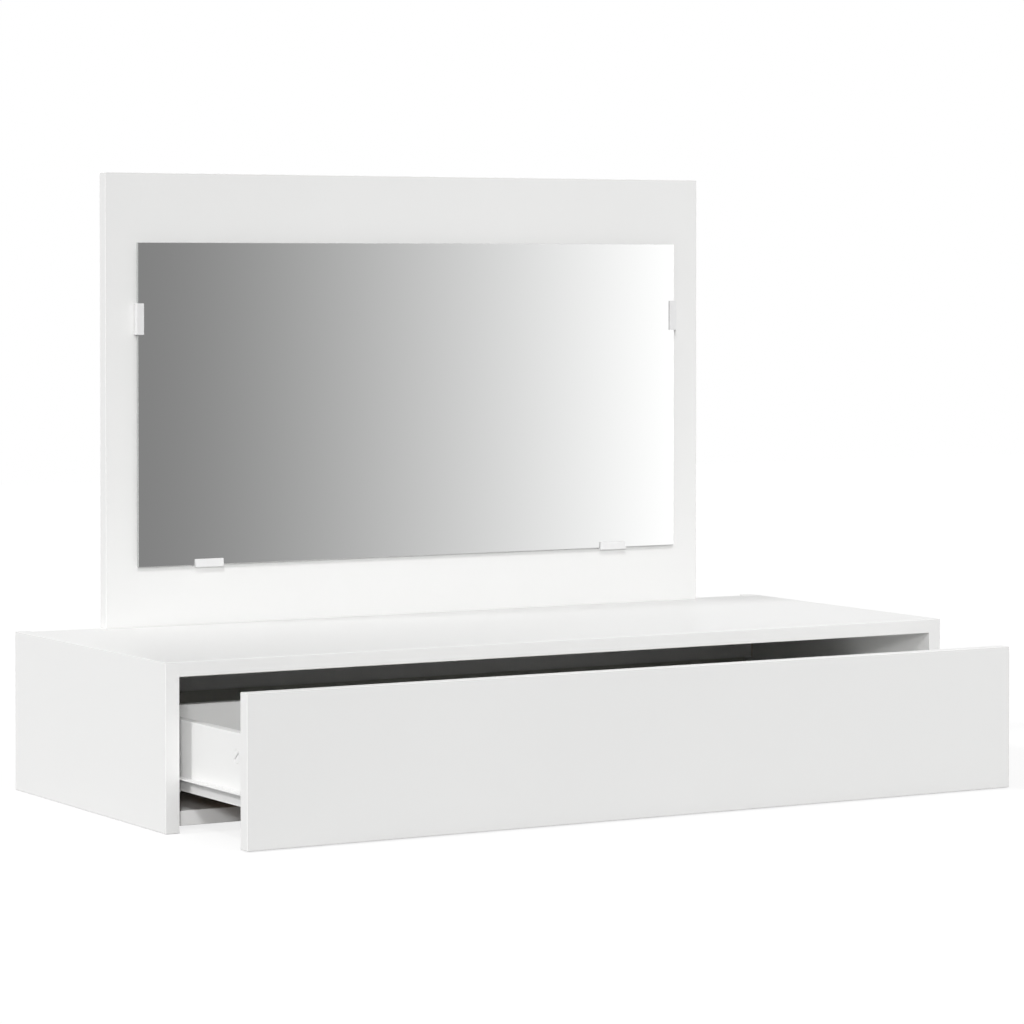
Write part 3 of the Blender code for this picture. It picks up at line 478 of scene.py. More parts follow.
back_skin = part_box("back_panel")[0].y + SKIN
# The case back's inner face takes the olive-grey lacquer, as painted shade inside the case.
back_finish = hardboard(
    "hardboard_back", lambda parts: parts[Y] < back_skin, (X, Z), SHADED_BACK_LACQUER
)
dress("back_panel", "case", back_finish, "white_hardboard")
bottom_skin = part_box("drawer_bottom")[1].z - SKIN
bottom_finish = hardboard(
    "hardboard_drawer_bottom", lambda parts: parts[Z] > bottom_skin, (X, Y), BOTTOM_LACQUER
)
dress("drawer_bottom", "drawer", bottom_finish, "white_hardboard")
print("hardboard sheets dressed")

# %% [markdown]
# ## The mirror
# A mirror is a sheet of float glass, silvered behind. Its edges are cut and then ground, so a
# narrow frosted slope runs round the front. The sheet is a cube at its size; a bevel on the
# front edges grinds the slope, and one on the rear edges breaks their sharpness.

# %% Mirror glass
GRIND, BREAK, NEAR = 0.25 * MM, 0.4 * MM, 0.1 * MM


def block(name, low, high):
    """A cube primitive that fills a box, ready to be shaped."""
    low, high = Vector(low), Vector(high)
    bpy.ops.object.select_all(action="DESELECT")
    bpy.ops.mesh.primitive_cube_add(size=1, location=(low + high) / 2, scale=high - low)
    piece = bpy.context.object
    piece.name = name
    bpy.ops.object.transform_apply(location=True, rotation=True, scale=True)
    return piece


glass_low, glass_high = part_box("mirror_glass")
glass = block("mirror_glass_dressed", glass_low, glass_high)
bpy.ops.object.mode_set(mode="EDIT")
pick(glass, lambda middle, edge: middle.y < glass_low.y + NEAR, "edges")
bpy.ops.mesh.bevel(offset=GRIND, segments=2, profile=0.5)
pick(glass, lambda middle, edge: middle.y > glass_high.y - NEAR, "edges")
bpy.ops.mesh.bevel(offset=BREAK, segments=1)
bpy.ops.object.mode_set(mode="OBJECT")
print("mirror", [round(v, 4) for v in glass.dimensions])

# %% [markdown]
# ## Silvering
# Real glass over silver would need two surfaces and many bounces of light. One polished metal
# face looks the same. The frosted grey edge and the pale paint behind are the same sheet, so
# one finish holds all three, and tells them apart by how far back they lie.

# %% Silvered glass
SILVER_DEEP, FROST, HAZE = 0.03 * MM, 0.5 * MM, 220 * MM
SILVER, BACK_PAINT = rgb(0.93, 0.935, 0.93), rgb(0.78, 0.78, 0.77)
DARK_EDGE, PALE_EDGE = rgb(0.40, 0.415, 0.405), rgb(0.46, 0.47, 0.465)


def silvered_glass():
    finish, start, place = begin("silvered_glass")
    depth = along(start, place)[Y]
    silver = depth < glass_low.y + SILVER_DEEP
    paint = depth > glass_high.y - NEAR
    ground = grain(start, place, FROST)
    haze = grain(start, place, HAZE)
    edge = ground.mix(DARK_EDGE, PALE_EDGE)
    colour = paint.mix(silver.mix(edge, SILVER), BACK_PAINT)
    frosted = 0.34 + (ground - 0.5) * 0.1
    polished = 0.012 + (haze - 0.5) * 0.004
    rough = (1 - silver) * frosted + silver * polished
    surface(start, colour, rough, metallic=silver)
    return finish


seat(glass, "case", silvered_glass(), "silvered_glass", "mirror_glass")
print("mirror finish:", glass.active_material.name)

# %% [markdown]
# ## The mirror clips
# Four moulded clips hold the glass: a foot behind it with a screw, a wall beside its edge and
# a lip in front of it. One clip is modelled where the left one sits. Three cubes could be
# joined, but then faces would lie inside the plastic. So one cube makes the wall, two cuts
# part off where the foot and the lip start, and both are pulled out of the wall. The lip's
# front slopes back towards its tip, and gets a shallow sunk field.

# %% Clip blank
CLIP_WALL, CLIP_LIP, CLIP_FOOT = 2.0 * MM, 7.3 * MM, 14.3 * MM
LIP_THICK, FOOT_THICK = 2.2 * MM, 2.0 * MM
LIP_SLOPE, LIP_FACE = 0.12, 0.3 * MM
FIELD_RIM, FIELD_DEEP, FIELD_REACH = 0.9 * MM, 0.2 * MM, 0.9 * MM
FACING = 0.9

clip_low, clip_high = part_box("mirror_clip_left")
lip_back, foot_front = clip_low.y + LIP_THICK, clip_high.y - FOOT_THICK
clip = block(
    "mirror_clip_left_dressed", clip_low, (clip_low.x + CLIP_WALL, clip_high.y, clip_high.z)
)
bpy.ops.object.mode_set(mode="EDIT")
for cut in (lip_back, foot_front):
    bpy.ops.mesh.select_all(action="SELECT")
    bpy.ops.mesh.bisect(plane_co=(0, cut, 0), plane_no=(0, 1, 0))
for reach, wanted in (
    (CLIP_LIP, lambda middle: middle.y < lip_back),
    (CLIP_FOOT, lambda middle: middle.y > foot_front),
):
    pick(clip, lambda middle, normal: normal.x > FACING and wanted(middle))
    bpy.ops.mesh.extrude_region_move(TRANSFORM_OT_translate={"value": (reach, 0, 0)})


def lip_edge(run):
    """A test for the upright edge in the lip's front at this distance from the clip's side."""

    def test(middle, edge):
        upright = abs(edge.verts[0].co.z - edge.verts[1].co.z) > ARRIS
        in_front = middle.y < clip_low.y + LIP_FACE
        return upright and in_front and abs(middle.x - (clip_low.x + run)) < NEAR

    return test


for run in (CLIP_WALL, CLIP_WALL + CLIP_LIP):
    pick(clip, lip_edge(run), "edges")
    bpy.ops.transform.translate(value=(0, LIP_SLOPE * run, 0))
pick(clip, lambda middle, normal: normal.y < -FACING and middle.y < clip_low.y + FIELD_REACH)
bpy.ops.mesh.dissolve_faces()
bpy.ops.mesh.inset(thickness=FIELD_RIM, depth=-FIELD_DEEP)
bpy.ops.object.mode_set(mode="OBJECT")
print("clip blank faces:", len(clip.data.polygons))

# %% [markdown]
# ## Rounding and drilling
# A mould leaves no sharp edge, so a bevel modifier rounds every edge that is sharp enough. The
# foot has a hole for the screw, and a wider one that the screw's head sinks into. Holes could
# be cut with inset circles, but a drill is simpler: a cylinder taken out by a boolean.

# %% Clip screw hole
DRILL_START, DRILL_STEPS = 0.5 * MM, 24
CLIP_ROUND = 0.45 * MM
HEAD_HOLE, HEAD_HOLE_DEEP, SCREW_HOLE, SCREW_HOLE_DEEP = 3.0 * MM, 1.9 * MM, 1.7 * MM, 4.0 * MM


def cut_out(piece, bit):
    """Takes a bit's shape out of a piece, and puts the bit away."""
    only(piece)
    bpy.ops.object.modifier_add(type="BOOLEAN")
    piece.modifiers[-1].object = bit
    piece.modifiers[-1].solver = "EXACT"
    bpy.ops.object.modifier_apply(modifier=piece.modifiers[-1].name)
    bpy.data.objects.remove(bit)


def drill(piece, place, axis, radius, depth):
    """Takes a round hole out of a piece, from a place inwards along an axis."""
    way = Vector(axis)
    bpy.ops.object.select_all(action="DESELECT")
    bpy.ops.mesh.primitive_cylinder_add(
        vertices=DRILL_STEPS,
        radius=radius,
        depth=depth,
        location=Vector(place) + way * (depth / 2 - DRILL_START),
        rotation=way.to_track_quat("Z", "Y").to_euler(),
    )
    cut_out(piece, bpy.context.object)


def round_off(piece, width, segments=3, angle=35):
    """Rounds every edge sharper than an angle."""
    only(piece)
    bpy.ops.object.modifier_add(type="BEVEL")
    rounding = piece.modifiers[-1]
    rounding.width, rounding.segments = width, segments
    rounding.limit_method, rounding.angle_limit = "ANGLE", math.radians(angle)
    rounding.use_clamp_overlap = True
    bpy.ops.object.modifier_apply(modifier=rounding.name)


round_off(clip, CLIP_ROUND)
screw_low, screw_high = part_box("mirror_clip_screw_left")
screw_middle = (screw_low + screw_high) / 2
screw_seat = (screw_middle.x, foot_front, screw_middle.z)
drill(clip, screw_seat, (0, 1, 0), HEAD_HOLE, HEAD_HOLE_DEEP)
drill(clip, screw_seat, (0, 1, 0), SCREW_HOLE, SCREW_HOLE_DEEP)
roll_arrises(clip, 40)
print("clip faces:", len(clip.data.polygons))

# %% [markdown]
# ## Plastic, and the other clips
# White plastic flows into the mould and keeps faint streaks, under a fine skin. The other
# three clips could be modelled again; they are turned copies of the first, each with a mesh
# of its own, moved to the middle of the box that the engineering model gives.

# %% Clip copies
FLOW, SKIN_GRAIN = 7 * MM, 0.25 * MM
FLOW_STRETCH = (1, 1, 0.3)


def moulded(name, low, high, rough, skin):
    """Smooth moulded plastic with a little flow in its colour and a fine skin."""
    finish, start, place = begin(name)
    flow = grain(start, place, FLOW, 1.0, FLOW_STRETCH)
    fine = grain(start, place, SKIN_GRAIN, 1.0)
    surface(start, flow.mix(low, high), rough + (fine - 0.5) * 0.08, fine, skin)
    return finish


def clip_copy(side, turn):
    """A copy of the left clip, turned, and moved to the middle of another clip's box."""
    name = "mirror_clip_" + side
    piece = bpy.data.objects.new(name + "_dressed", clip.data.copy())
    bpy.context.scene.collection.objects.link(piece)
    middle = (clip_low + clip_high) / 2
    low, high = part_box(name)
    piece.data.transform(
        Matrix.Translation((low + high) / 2) @ turn @ Matrix.Translation(-middle)
    )
    return seat(piece, "case", plastic, "white_plastic", name)


plastic = moulded(
    "white_plastic", rgb(0.77, 0.77, 0.77), rgb(0.81, 0.81, 0.81), 0.32, 0.006 * MM
)
for side, turn in (
    ("right", Matrix.Rotation(math.pi, 4, "Y")),
    ("bottom_left", Matrix.Rotation(-math.pi / 2, 4, "Y")),
    ("bottom_right", Matrix.Rotation(-math.pi / 2, 4, "Y")),
):
    print("copied to", clip_copy(side, turn).name)
seat(clip, "case", plastic, "white_plastic", "mirror_clip_left")

# %% [markdown]
# ## White-coated steel runners
# Each runner is a strip of thin steel, folded and coated white. The engineering model has
# square folds; real ones are bent over a radius. A strip could be drawn anew and thickened,
# but the copies already have the profile, the pin and the screw holes, so a bevel on their
# sharp folds is all that they need. The coat has the fine dimples of sprayed powder.

# %% Runners
PEEL, COAT_CLOUD, PEEL_DEEP = 1.1 * MM, 45 * MM, 0.02 * MM
DULL_COAT, CLEAN_COAT = rgb(0.79, 0.79, 0.785), rgb(0.82, 0.82, 0.815)
FOLD = 0.45 * MM
SIDES = ("left", "right")


def coated_steel():
    finish, start, place = begin("white_coated_steel")
    peel = grain(start, place, PEEL)
    cloud = grain(start, place, COAT_CLOUD)
    colour = cloud.mix(DULL_COAT, CLEAN_COAT)
    surface(start, colour, 0.30 + (peel - 0.5) * 0.12, peel, PEEL_DEEP)
    return finish


coat = coated_steel()
for side in SIDES:
    for body in ("case", "drawer"):
        node = f"{side}_{body}_runner"
        piece = welded_copy(node, node + "_dressed")
        round_off(piece, FOLD, 3, 60)
        roll_arrises(piece, 40)
        seat(piece, body, coat, "white_coated_steel", node)
        print(piece.name, len(piece.data.polygons), "faces")

# %% [markdown]
# ## Turned pieces
# Rollers, screws, bolts and dowels are round about one axis. Half a section could be drawn and
# spun, but its points would be typed in with no mesh to start from. Here a circle is added, and
# its ring is extruded step by step: each step moves the ring along the axis and scales it to
# the next radius, as a tool travels along a lathe.

# %% Lathe
def lathe(name, section, steps, ring=False):
    """A round piece on the Z axis through (radius, height) steps; a ring ends where it began."""
    radius, height = section[0]
    bpy.ops.object.select_all(action="DESELECT")
    bpy.ops.mesh.primitive_circle_add(
        vertices=steps,
        radius=radius,
        location=(0, 0, height),
        fill_type="NOTHING" if ring else "NGON",
    )
    piece = bpy.context.object
    piece.name = name
    bpy.ops.object.transform_apply(location=True)
    bpy.ops.object.mode_set(mode="EDIT")
    bpy.ops.mesh.select_mode(type="VERT")
    bpy.ops.mesh.select_all(action="SELECT")
    path = [*section, section[0]] if ring else section
    for (was, low), (now, high) in zip(path, path[1:]):
        bpy.ops.mesh.extrude_region_move(TRANSFORM_OT_translate={"value": (0, 0, high - low)})
        share = now / was
        bpy.ops.transform.resize(value=(share, share, 1), center_override=(0, 0, high))
    bpy.ops.mesh.select_all(action="SELECT")
    bpy.ops.mesh.remove_doubles(threshold=WELD)
    bpy.ops.mesh.normals_make_consistent(inside=False)
    bpy.ops.object.mode_set(mode="OBJECT")
    return piece


def placed_copy(template, name, head, way):
    """A copy of a turned piece with its top at a place, and its foot pointing along a way."""
    piece = bpy.data.objects.new(name, template.data.copy())
    bpy.context.scene.collection.objects.link(piece)
    turn = Vector((0, 0, -1)).rotation_difference(Vector(way)).to_matrix().to_4x4()
    piece.data.transform(Matrix.Translation(head) @ turn)
    return piece


# %% [markdown]
# ## Rollers
# The nylon rollers have a rounded running rim and a sunk face round the hub. A drilled cylinder
# would lack both, so one is turned as a ring, with its bore left open for the axle, and copied
# to the four axles. Only half of the section is written, and the other half is its reflection.

# %% Rollers
ROLLER, BORE, HALF = 6.0 * MM, 2.12 * MM, 2.5 * MM
HUB, WEB, SUNK, RIM = 3.1 * MM, 4.6 * MM, 0.5 * MM, 0.7 * MM
SLOPE, RIM_STEP, ROLLER_STEPS = 0.2 * MM, 18, 48

half_section = [
    (BORE, HALF),
    (HUB, HALF),
    (HUB + SLOPE, HALF - SUNK),
    (WEB - SLOPE, HALF - SUNK),
    (WEB, HALF),
]
for step in range(0, 91, RIM_STEP):
    angle = math.radians(step)
    out, up = RIM * math.sin(angle), RIM * math.cos(angle)
    half_section.append((ROLLER - RIM + out, HALF - RIM + up))
other_half = [(radius, -height) for radius, height in reversed(half_section)]
roller = lathe("roller", half_section + other_half, ROLLER_STEPS, ring=True)
roll_arrises(roller, 40)
nylon = moulded(
    "white_nylon", rgb(0.76, 0.76, 0.74), rgb(0.80, 0.80, 0.78), 0.38, 0.004 * MM
)
for side in SIDES:
    for body in ("case", "drawer"):
        node = f"{side}_{body}_roller"
        low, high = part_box(node)
        piece = placed_copy(roller, node + "_dressed", (low + high) / 2, (1, 0, 0))
        seat(piece, f"{body}_roller_{side}", nylon, "white_nylon", node)
print("roller faces:", len(roller.data.polygons))
bpy.data.objects.remove(roller)

# %% [markdown]
# ## Cam locks
# The drawer's front is drawn to its sides by cams: drums let into the boards, turned with a
# screwdriver. The drawer's cams are zinc with white faces that almost vanish in the board; only
# the slanting slot shows, cut into the white, and its floor is a duller grey that is painted
# shade in the recess. Two pieces could be fitted together, but the slot's floor lies deeper than
# the face, so one finish can do both. The cams under the top stay bare zinc.

# %% Cam locks
SPANGLE, SCRATCH, ZINC_DEEP = 3 * MM, 0.15 * MM, 0.004 * MM
DARK_ZINC, PALE_ZINC = rgb(0.56, 0.57, 0.59), rgb(0.70, 0.70, 0.69)
FACE_DEEP = 0.3 * MM
DULL_FACE, CLEAN_FACE = rgb(0.855, 0.855, 0.85), rgb(0.875, 0.875, 0.87)
# The slot's duller grey is painted shade in the recess.
SLOT_SHADE_DULL, SLOT_SHADE_CLEAN = rgb(0.75, 0.75, 0.745), rgb(0.80, 0.80, 0.795)
FACE_ROUND, DRUM_ROUND = 0.08 * MM, 0.25 * MM


def zinc():
    """Bright zinc plate: metal with cloudy spangle and fine scratches."""
    finish, start, place = begin("zinc_plated_steel")
    cloud = grain(start, place, SPANGLE)
    fine = grain(start, place, SCRATCH)
    rough = 0.26 + cloud * 0.12 + (fine - 0.5) * 0.1
    surface(start, cloud.mix(DARK_ZINC, PALE_ZINC), rough, fine, ZINC_DEEP, metallic=1.0)
    return finish


def white_cap_shaded_slot():
    """White down to a little below the cam's face, and a duller grey in the slot, painted shade
    in the recess.
    """
    finish, start, place = begin("cam_white")
    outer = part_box("drawer_cam_lock_right")[1].x
    cap = abs(along(start, place)[X]) > outer - FACE_DEEP
    fine = grain(start, place, SKIN_GRAIN, 1.0)
    colour = cap.mix(fine.mix(SLOT_SHADE_DULL, SLOT_SHADE_CLEAN), fine.mix(DULL_FACE, CLEAN_FACE))
    surface(start, colour, 0.40 + (fine - 0.5) * 0.08, fine, ZINC_DEEP)
    return finish


def cam(node, body, finish, rounding):
    """A cam of the frame with rounded edges and its finish."""
    piece = welded_copy(node, node + "_dressed")
    round_off(piece, rounding, 2, 50)
    roll_arrises(piece, 50)
    seat(piece, body, finish, "zinc_plated_steel", node)


plate, cam_face = zinc(), white_cap_shaded_slot()
for side in SIDES:
    cam("drawer_cam_lock_" + side, "drawer", cam_face, FACE_ROUND)
    for end in ("front", "rear"):
        cam(f"top_cam_lock_{side}_{end}", "case", plate, DRUM_ROUND)
print("cams dressed")

# %% [markdown]
# ## Threads and recesses
# A furniture screw has a thread cut nearly up to its head, and a cross recess for the driver. A
# modelled helix would have to be joined to its core; instead the shank is turned with many
# rings. Its points are then picked level by level, by how far they are from the thread's crest,
# and each level is scaled in towards the axis. The recess is a cross grown from a cube, narrowed
# towards its floor and cut out of the head.

# %% Thread and recess
LEVELS = 10
ARM_SHARE, FLOOR_SHARE = 0.15, 0.45
WAYS = [Vector(way) for way in ((1, 0, 0), (-1, 0, 0), (0, 1, 0), (0, -1, 0))]


def cut_thread(piece, low, high, pitch, root):
    """Cuts a helical groove between two heights, down to a share of the radius."""

    def level(place):
        turn = place.z / pitch - math.atan2(place.y, place.x) / (2 * math.pi)
        depth = 1 - abs(2 * (turn % 1) - 1)
        return round(depth * LEVELS) if low < place.z < high else 0

    levels = [level(point.co) for point in piece.data.vertices]
    only(piece)
    bpy.ops.object.mode_set(mode="EDIT")
    for step in range(1, LEVELS + 1):
        pick(piece, lambda place, point: levels[point.index] == step, "verts")
        share = 1 - (1 - root) * step / LEVELS
        bpy.ops.transform.resize(value=(share, share, 1), center_override=(0, 0, 0))
    bpy.ops.object.mode_set(mode="OBJECT")


def cross_recess(piece, span, depth):
    """Sinks a tapered cross into a head whose top is at height 0."""
    arm = span * ARM_SHARE
    bit = block("cross_bit", (-arm, -arm, -depth), (arm, arm, depth))
    bpy.ops.object.mode_set(mode="EDIT")
    core = 1.1 * arm
    for way in WAYS:
        reach = {"value": way * (span / 2 - arm)}
        pick(bit, lambda middle, normal: normal.dot(way) > FACING and middle.dot(way) < core)
        bpy.ops.mesh.extrude_region_move(TRANSFORM_OT_translate=reach)
    pick(bit, lambda middle, normal: normal.z < -FACING)
    bpy.ops.transform.resize(
        value=(FLOOR_SHARE, FLOOR_SHARE, 1), center_override=(0, 0, -depth)
    )
    bpy.ops.object.mode_set(mode="OBJECT")
    cut_out(piece, bit)


# %% [markdown]
# ## Screws
# The table has four sizes of screw, all with a low domed head. Each size is turned once, from
# a section that is written in shares of its own radius and head, and is then copied to every
# place where the engineering model has such a screw. Its head goes to that box's outer end.

# %% Screws
SCREW_STEPS, RINGS_PER_TURN, SCREW_ROOT = 20, 5, 0.68
INTO = {
    "left": (-1, 0, 0),
    "right": (1, 0, 0),
    "up": (0, 0, 1),
    "rear": (0, 1, 0),
    "front": (0, -1, 0),
}


def screw(radius, head, thick, length):
    """A cross-recessed wood screw that hangs from height 0."""
    pitch, tip = 0.75 * radius, 1.5 * radius
    section = [(0.45 * head, 0), (0.80 * head, -0.14 * thick), (0.96 * head, -0.45 * thick)]
    section += [(head, -0.85 * thick), (0.98 * head, -thick), (radius, -thick)]
    rings = round((length - tip) / (pitch / RINGS_PER_TURN))
    section += [(radius, -thick - (length - tip) * k / rings) for k in range(1, rings + 1)]
    section += [(0.55 * radius, -thick - length + 0.6 * tip), (0.1 * radius, -thick - length)]
    piece = lathe("screw", section, SCREW_STEPS)
    cut_thread(
        piece, -thick - length + 0.5 * tip, -thick - 0.4 * radius, pitch, SCREW_ROOT
    )
    cross_recess(piece, head, 0.65 * thick)
    roll_arrises(piece, 30)
    return piece


def fasten(template, name, way, finish, slot):
    """Puts a copy of a template where a fastener of the frame is."""
    low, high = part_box(name)
    way = Vector(INTO[way])
    head = (low + high) / 2 - way * abs((high - low).dot(way)) / 2
    piece = placed_copy(template, name + "_dressed", head, way)
    seat(piece, "drawer" if name.startswith("drawer") else "case", finish, slot, name)


CLIP_SIDES = ("left", "right", "bottom_left", "bottom_right")
CORNERS = [(side, end) for side in SIDES for end in ("front", "rear")]
clip_screws = [("mirror_clip_screw_" + side, "rear") for side in CLIP_SIDES]
board_screws = [("mirror_board_screw_" + k, "up") for k in ("left", "middle", "right")]
back_screws = [("drawer_back_screw_left", "right"), ("drawer_back_screw_right", "left")]
runner_screws = [(f"case_runner_screw_{side}_{end}", side) for side, end in CORNERS]
runner_screws += [(f"drawer_runner_screw_{side}_{end}", "up") for side, end in CORNERS]
SCREWS = (
    ((1.5, 2.8, 1.0, 12), clip_screws),
    ((2.5, 5.0, 3.0, 50), board_screws),
    ((2.0, 3.8, 2.0, 35), back_screws),
    ((1.8, 3.5, 1.0, 10), runner_screws),
)
for sizes, places in SCREWS:
    template = screw(*(size * MM for size in sizes))
    for name, way in places:
        fasten(template, name, way, plate, "zinc_plated_steel")
    print("screw", sizes, "mm:", len(template.data.polygons), "faces,", len(places), "copies")
    bpy.data.objects.remove(template)

# %% [markdown]
# ## Cam bolts
# A cam bolt has a short coarse thread, a smooth shaft that ends in a shoulder, and a necked head
# that the cam hooks behind. It could be joined from three cylinders, but is turned in one go like
# a screw, with the thread at its foot. Its length is read from the engineering model.

# %% Cam bolts
BOLT_HEAD, BOLT_NECK, BOLT, THREAD = 2.8 * MM, 1.8 * MM, 3.0 * MM, 2.5 * MM
HEAD_LONG, NECK_LONG, THREAD_LONG = 3.0 * MM, 8.0 * MM, 10.0 * MM
BOLT_STEPS, THREAD_RINGS, BOLT_PITCH, BOLT_ROOT = 24, 25, 2.0 * MM, 0.70

bolt_low, bolt_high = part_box("drawer_cam_bolt_left")
shaft_top = -HEAD_LONG - NECK_LONG
shoulder = THREAD_LONG - (bolt_high.y - bolt_low.y)
section = [
    (0.6 * BOLT_HEAD, 0),
    (0.9 * BOLT_HEAD, -0.3 * MM),
    (BOLT_HEAD, -0.9 * MM),
    (BOLT_HEAD, -2.2 * MM),
    (0.85 * BOLT_HEAD, -HEAD_LONG),
    (BOLT_NECK, -HEAD_LONG - 0.4 * MM),
    (BOLT_NECK, shaft_top + 0.5 * MM),
    (0.9 * BOLT, shaft_top),
    (BOLT, shaft_top - 0.4 * MM),
    (BOLT, shoulder + 0.3 * MM),
    (0.93 * BOLT, shoulder),
    (THREAD, shoulder),
]
ring_heights = [shoulder - THREAD_LONG * k / THREAD_RINGS for k in range(1, THREAD_RINGS - 1)]
section += [(THREAD, height) for height in ring_heights]
section += [(0.75 * THREAD, shoulder - THREAD_LONG)]
bolt = lathe("cam_bolt", section, BOLT_STEPS)
cut_thread(bolt, shoulder - THREAD_LONG, shoulder - 0.3 * MM, BOLT_PITCH, BOLT_ROOT)
cross_recess(bolt, 1.3 * BOLT_HEAD, 1.2 * MM)
roll_arrises(bolt, 30)
for side in SIDES:
    for name, way in (
        (f"top_cam_bolt_{side}_front", side),
        (f"top_cam_bolt_{side}_rear", side),
        (f"drawer_cam_bolt_{side}", "front"),
    ):
        fasten(bolt, name, way, plate, "zinc_plated_steel")
print("bolt length", round(bolt.dimensions.z / MM, 2), "mm")
bpy.data.objects.remove(bolt)

# %% [markdown]
# ## Dowels
# The pegs between the bottom, the rail and the sides are turned from beech, with tapered ends
# and pressed flutes that let the glue out. Cutting sixteen flutes with a tool would be slow, so
# every third row of points on a turned peg is picked by its bearing, and scaled in a little.

# %% Dowels
PEG, PEG_LONG, TAPER = 4.0 * MM, 30.0 * MM, 1.0 * MM
FLUTES, FLUTE_SHARE = 16, 0.93
PEG_STEPS = 3 * FLUTES
FLECK, FLECK_DEEP, FLECK_STRETCH = 0.8 * MM, 0.05 * MM, (0.05, 1, 1)
DARK_BEECH, PALE_BEECH = rgb(0.47, 0.31, 0.17), rgb(0.68, 0.50, 0.32)


def beech():
    """Turned beech: pale brown, with short dark flecks along the peg."""
    finish, start, place = begin("beech_dowel")
    lines = grain(start, place, FLECK, 4.0, FLECK_STRETCH)
    surface(start, lines.mix(DARK_BEECH, PALE_BEECH), 0.55 + lines * 0.1, lines, FLECK_DEEP)
    return finish


def in_flute(place, point):
    """Every third row of points round the peg, away from its tapered ends."""
    row = round(math.atan2(place.y, place.x) / (2 * math.pi) * PEG_STEPS)
    return row % 3 == 0 and -PEG_LONG + 2 * TAPER < place.z < -2 * TAPER


half_peg = [(PEG - TAPER, 0), (PEG, -TAPER), (PEG, -2.5 * TAPER)]
far_half = [(radius, -PEG_LONG - height) for radius, height in reversed(half_peg)]
peg = lathe("dowel", half_peg + far_half, PEG_STEPS)
only(peg)
bpy.ops.object.mode_set(mode="EDIT")
pick(peg, in_flute, "verts")
bpy.ops.transform.resize(value=(FLUTE_SHARE, FLUTE_SHARE, 1), center_override=(0, 0, 0))
bpy.ops.object.mode_set(mode="OBJECT")
roll_arrises(peg, 50)
wood = beech()
for name in nodes:
    if "dowel" in name:
        fasten(peg, name, "right", wood, "beech_dowel")
print("dowel faces:", len(peg.data.polygons))
bpy.data.objects.remove(peg)

# %% [markdown]
# ## The floor
# The table stands in a white studio, on a pale sheet that fades into the white round it and
# keeps a soft shadow. More light would bleach the sheet, but the table too. So the sheet glows
# a little for rays that show the background, and gives the table only the light of a pale grey
# one. From below it is clear, so that the underside can be looked at.

# %% Floor
FLOOR, FLOOR_DROP = 6.0, 0.3 * MM
PAPER, DARK_SHEET, PALE_SHEET = 400 * MM, rgb(0.34, 0.34, 0.34), rgb(0.38, 0.38, 0.38)
SHADOW_SHEET, GLOW = rgb(0.23, 0.23, 0.23), 0.80
FULL_WHITE = rgb(1, 1, 1)
BACKGROUND_RAYS = ("Is Camera Ray", "Is Glossy Ray", "Is Transmission Ray")


def is_seen(start):
    """1 for rays that show the background: from the camera, from gloss and through glass."""
    rays = [start.node("LightPath", output=ray) for ray in BACKGROUND_RAYS]
    return rays[0].either(rays[1]).either(rays[2])


bpy.ops.object.select_all(action="DESELECT")
bpy.ops.mesh.primitive_plane_add(size=2 * FLOOR, location=(0, 0, -FLOOR_DROP))
floor = bpy.context.object
floor.name = "floor"
finish, start, place = begin("floor_sheet")
sheet = grain(start, place, PAPER).mix(DARK_SHEET, PALE_SHEET)
pale = start.node("BsdfDiffuse", sockets={"Color": sheet})
soft = start.node("BsdfDiffuse", sockets={"Color": SHADOW_SHEET})
glow = start.node("Emission", sockets={"Color": FULL_WHITE, "Strength": GLOW})
white = start.node("AddShader", sockets={0: soft, 1: glow})
shown = start.node("MixShader", sockets={0: is_seen(start), 1: pale, 2: white})
below = start.node("NewGeometry", output="Backfacing")
clear = start.node("BsdfTransparent")
either_side = start.node("MixShader", sockets={0: below, 1: shown, 2: clear})
start.node("OutputMaterial", sockets={"Surface": either_side})
floor.data.materials.append(finish)
print("floor", 2 * FLOOR, "m wide")

# %% [markdown]
# ## What the mirror shows
# A mirror has no colour of its own: it shows what stands in front of it. Here that is a tall
# card, curved round the table, grey on one side and white on the other, as a studio hangs one.
# The run from grey to white could be painted on the glass, but then it would stay there from
# every side. The card can be seen by mirrors and gloss alone, and gives off no light.

# %% Mirror card
RADIUS, CARD_HIGH, CARD_DROP, CARD_STEPS = 2.4, 3.0, 0.2 * MM, 90
OPEN_BEHIND = 0.17 * RADIUS
GREYEST_BEARING, RUN_WIDE = 19.2, 23.9
GREYEST, RISE, FALL, FALL_SHARE, CURVE = 0.238, 0.86, 0.5, 0.4, 1.42

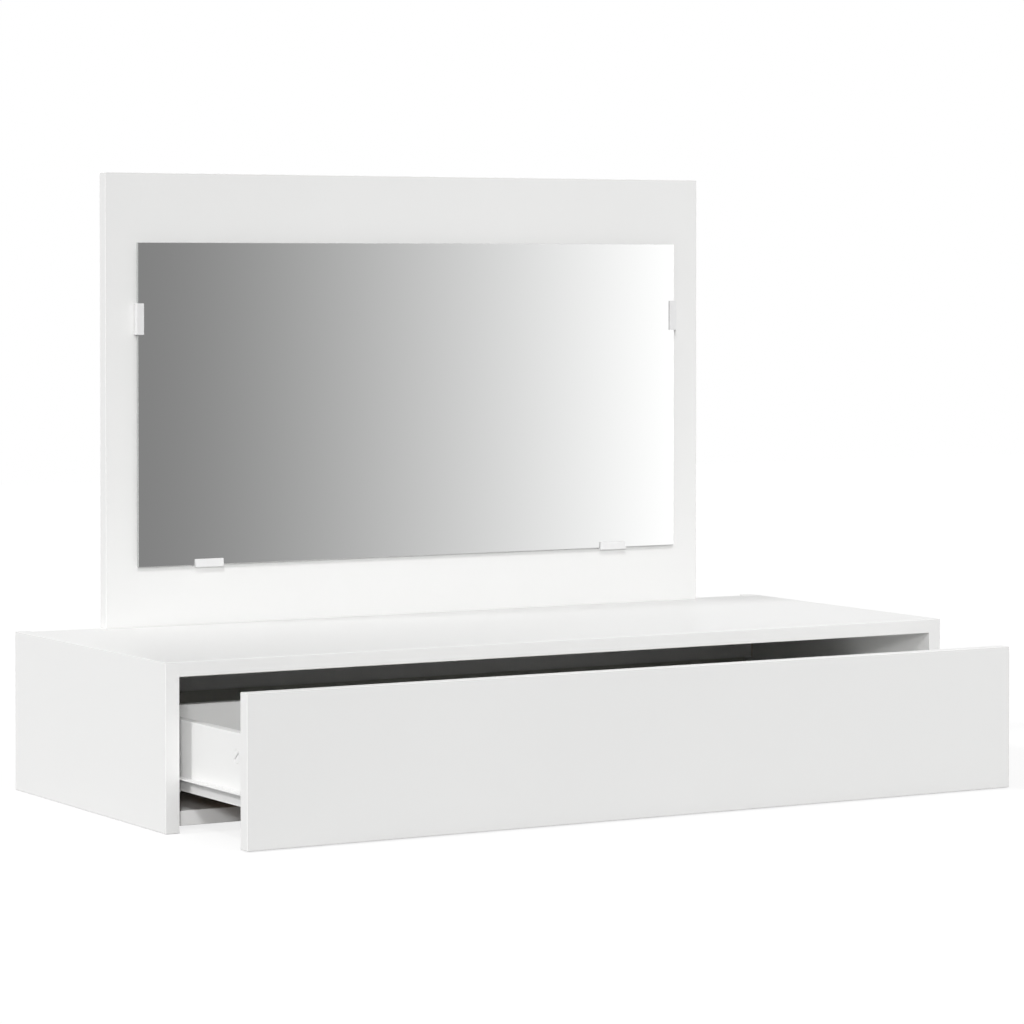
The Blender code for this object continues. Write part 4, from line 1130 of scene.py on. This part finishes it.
bpy.ops.object.select_all(action="DESELECT")
bpy.ops.mesh.primitive_cylinder_add(
    vertices=CARD_STEPS,
    radius=RADIUS,
    depth=CARD_HIGH,
    end_fill_type="NOTHING",
    location=(0, 0, CARD_HIGH / 2 - CARD_DROP),
)
card = bpy.context.object
card.name = "mirror_card"
bpy.ops.object.transform_apply(location=True)
bpy.ops.object.mode_set(mode="EDIT")
pick(card, lambda middle, normal: middle.y > OPEN_BEHIND)
bpy.ops.mesh.delete(type="FACE")
bpy.ops.object.mode_set(mode="OBJECT")
finish, start, place = begin("card_grey")
x, y = along(start, place)[:2]
bearing = x.math("ARCTAN2", x, 0 - y) * (180 / math.pi)
run = (bearing - GREYEST_BEARING) * (1 / RUN_WIDE)
rising, falling = run.either(0.0), (run * -FALL_SHARE).either(0.0)
rise, fall = (side.math("POWER", side, CURVE) for side in (rising, falling))
grey = GREYEST + RISE * rise + FALL * fall
light = start.node("Emission", sockets={"Color": grey, "Strength": 1.0})
start.node("OutputMaterial", sockets={"Surface": light})
card.data.materials.append(finish)
card.visible_camera = card.visible_diffuse = card.visible_shadow = False
card.visible_transmission = card.visible_volume_scatter = False
print("card faces:", len(card.data.polygons))

# %% [markdown]
# ## Light
# A white studio lights from all round, so the world is an even grey that the camera sees as
# white. Three broad lamps give the sides their different tones: one from the left, and two from
# the front, low and high. Area lamps would fall off across a table this wide, so distant ones
# are used, with a wide disc for soft shadows. Gloss doesn't show them, as it would a lamp's face.

# %% World and lamps
EVEN, BRIGHT = 0.45, 1.0

world = bpy.data.worlds.new("studio")
bpy.context.scene.world = world
world.use_nodes = True
world.node_tree.nodes.clear()
start = Wire(world.node_tree)
even = start.node("Background", sockets={"Color": FULL_WHITE, "Strength": EVEN})
bright = start.node("Background", sockets={"Color": FULL_WHITE, "Strength": BRIGHT})
both = start.node("MixShader", sockets={0: is_seen(start), 1: even, 2: bright})
start.node("OutputWorld", sockets={"Surface": both})


def sun(name, bearing, height, strength, disc):
    """A distant soft lamp. Bearing 0 shines from the front, and 90 from the left."""
    bpy.ops.object.select_all(action="DESELECT")
    bpy.ops.object.light_add(
        type="SUN", rotation=(math.radians(90 - height), 0, math.radians(-bearing))
    )
    lamp = bpy.context.object
    lamp.name = name
    lamp.data.energy = strength
    lamp.data.angle = math.radians(disc)
    lamp.visible_glossy = False


LAMPS = (
    ("key", 95, 38, 1.145, 6),
    ("side", 27, 14, 0.95, 6),
    ("high", 30, 36, 1.05, 8),
)
for settings in LAMPS:
    sun(*settings)
print("lamps:", len(LAMPS))
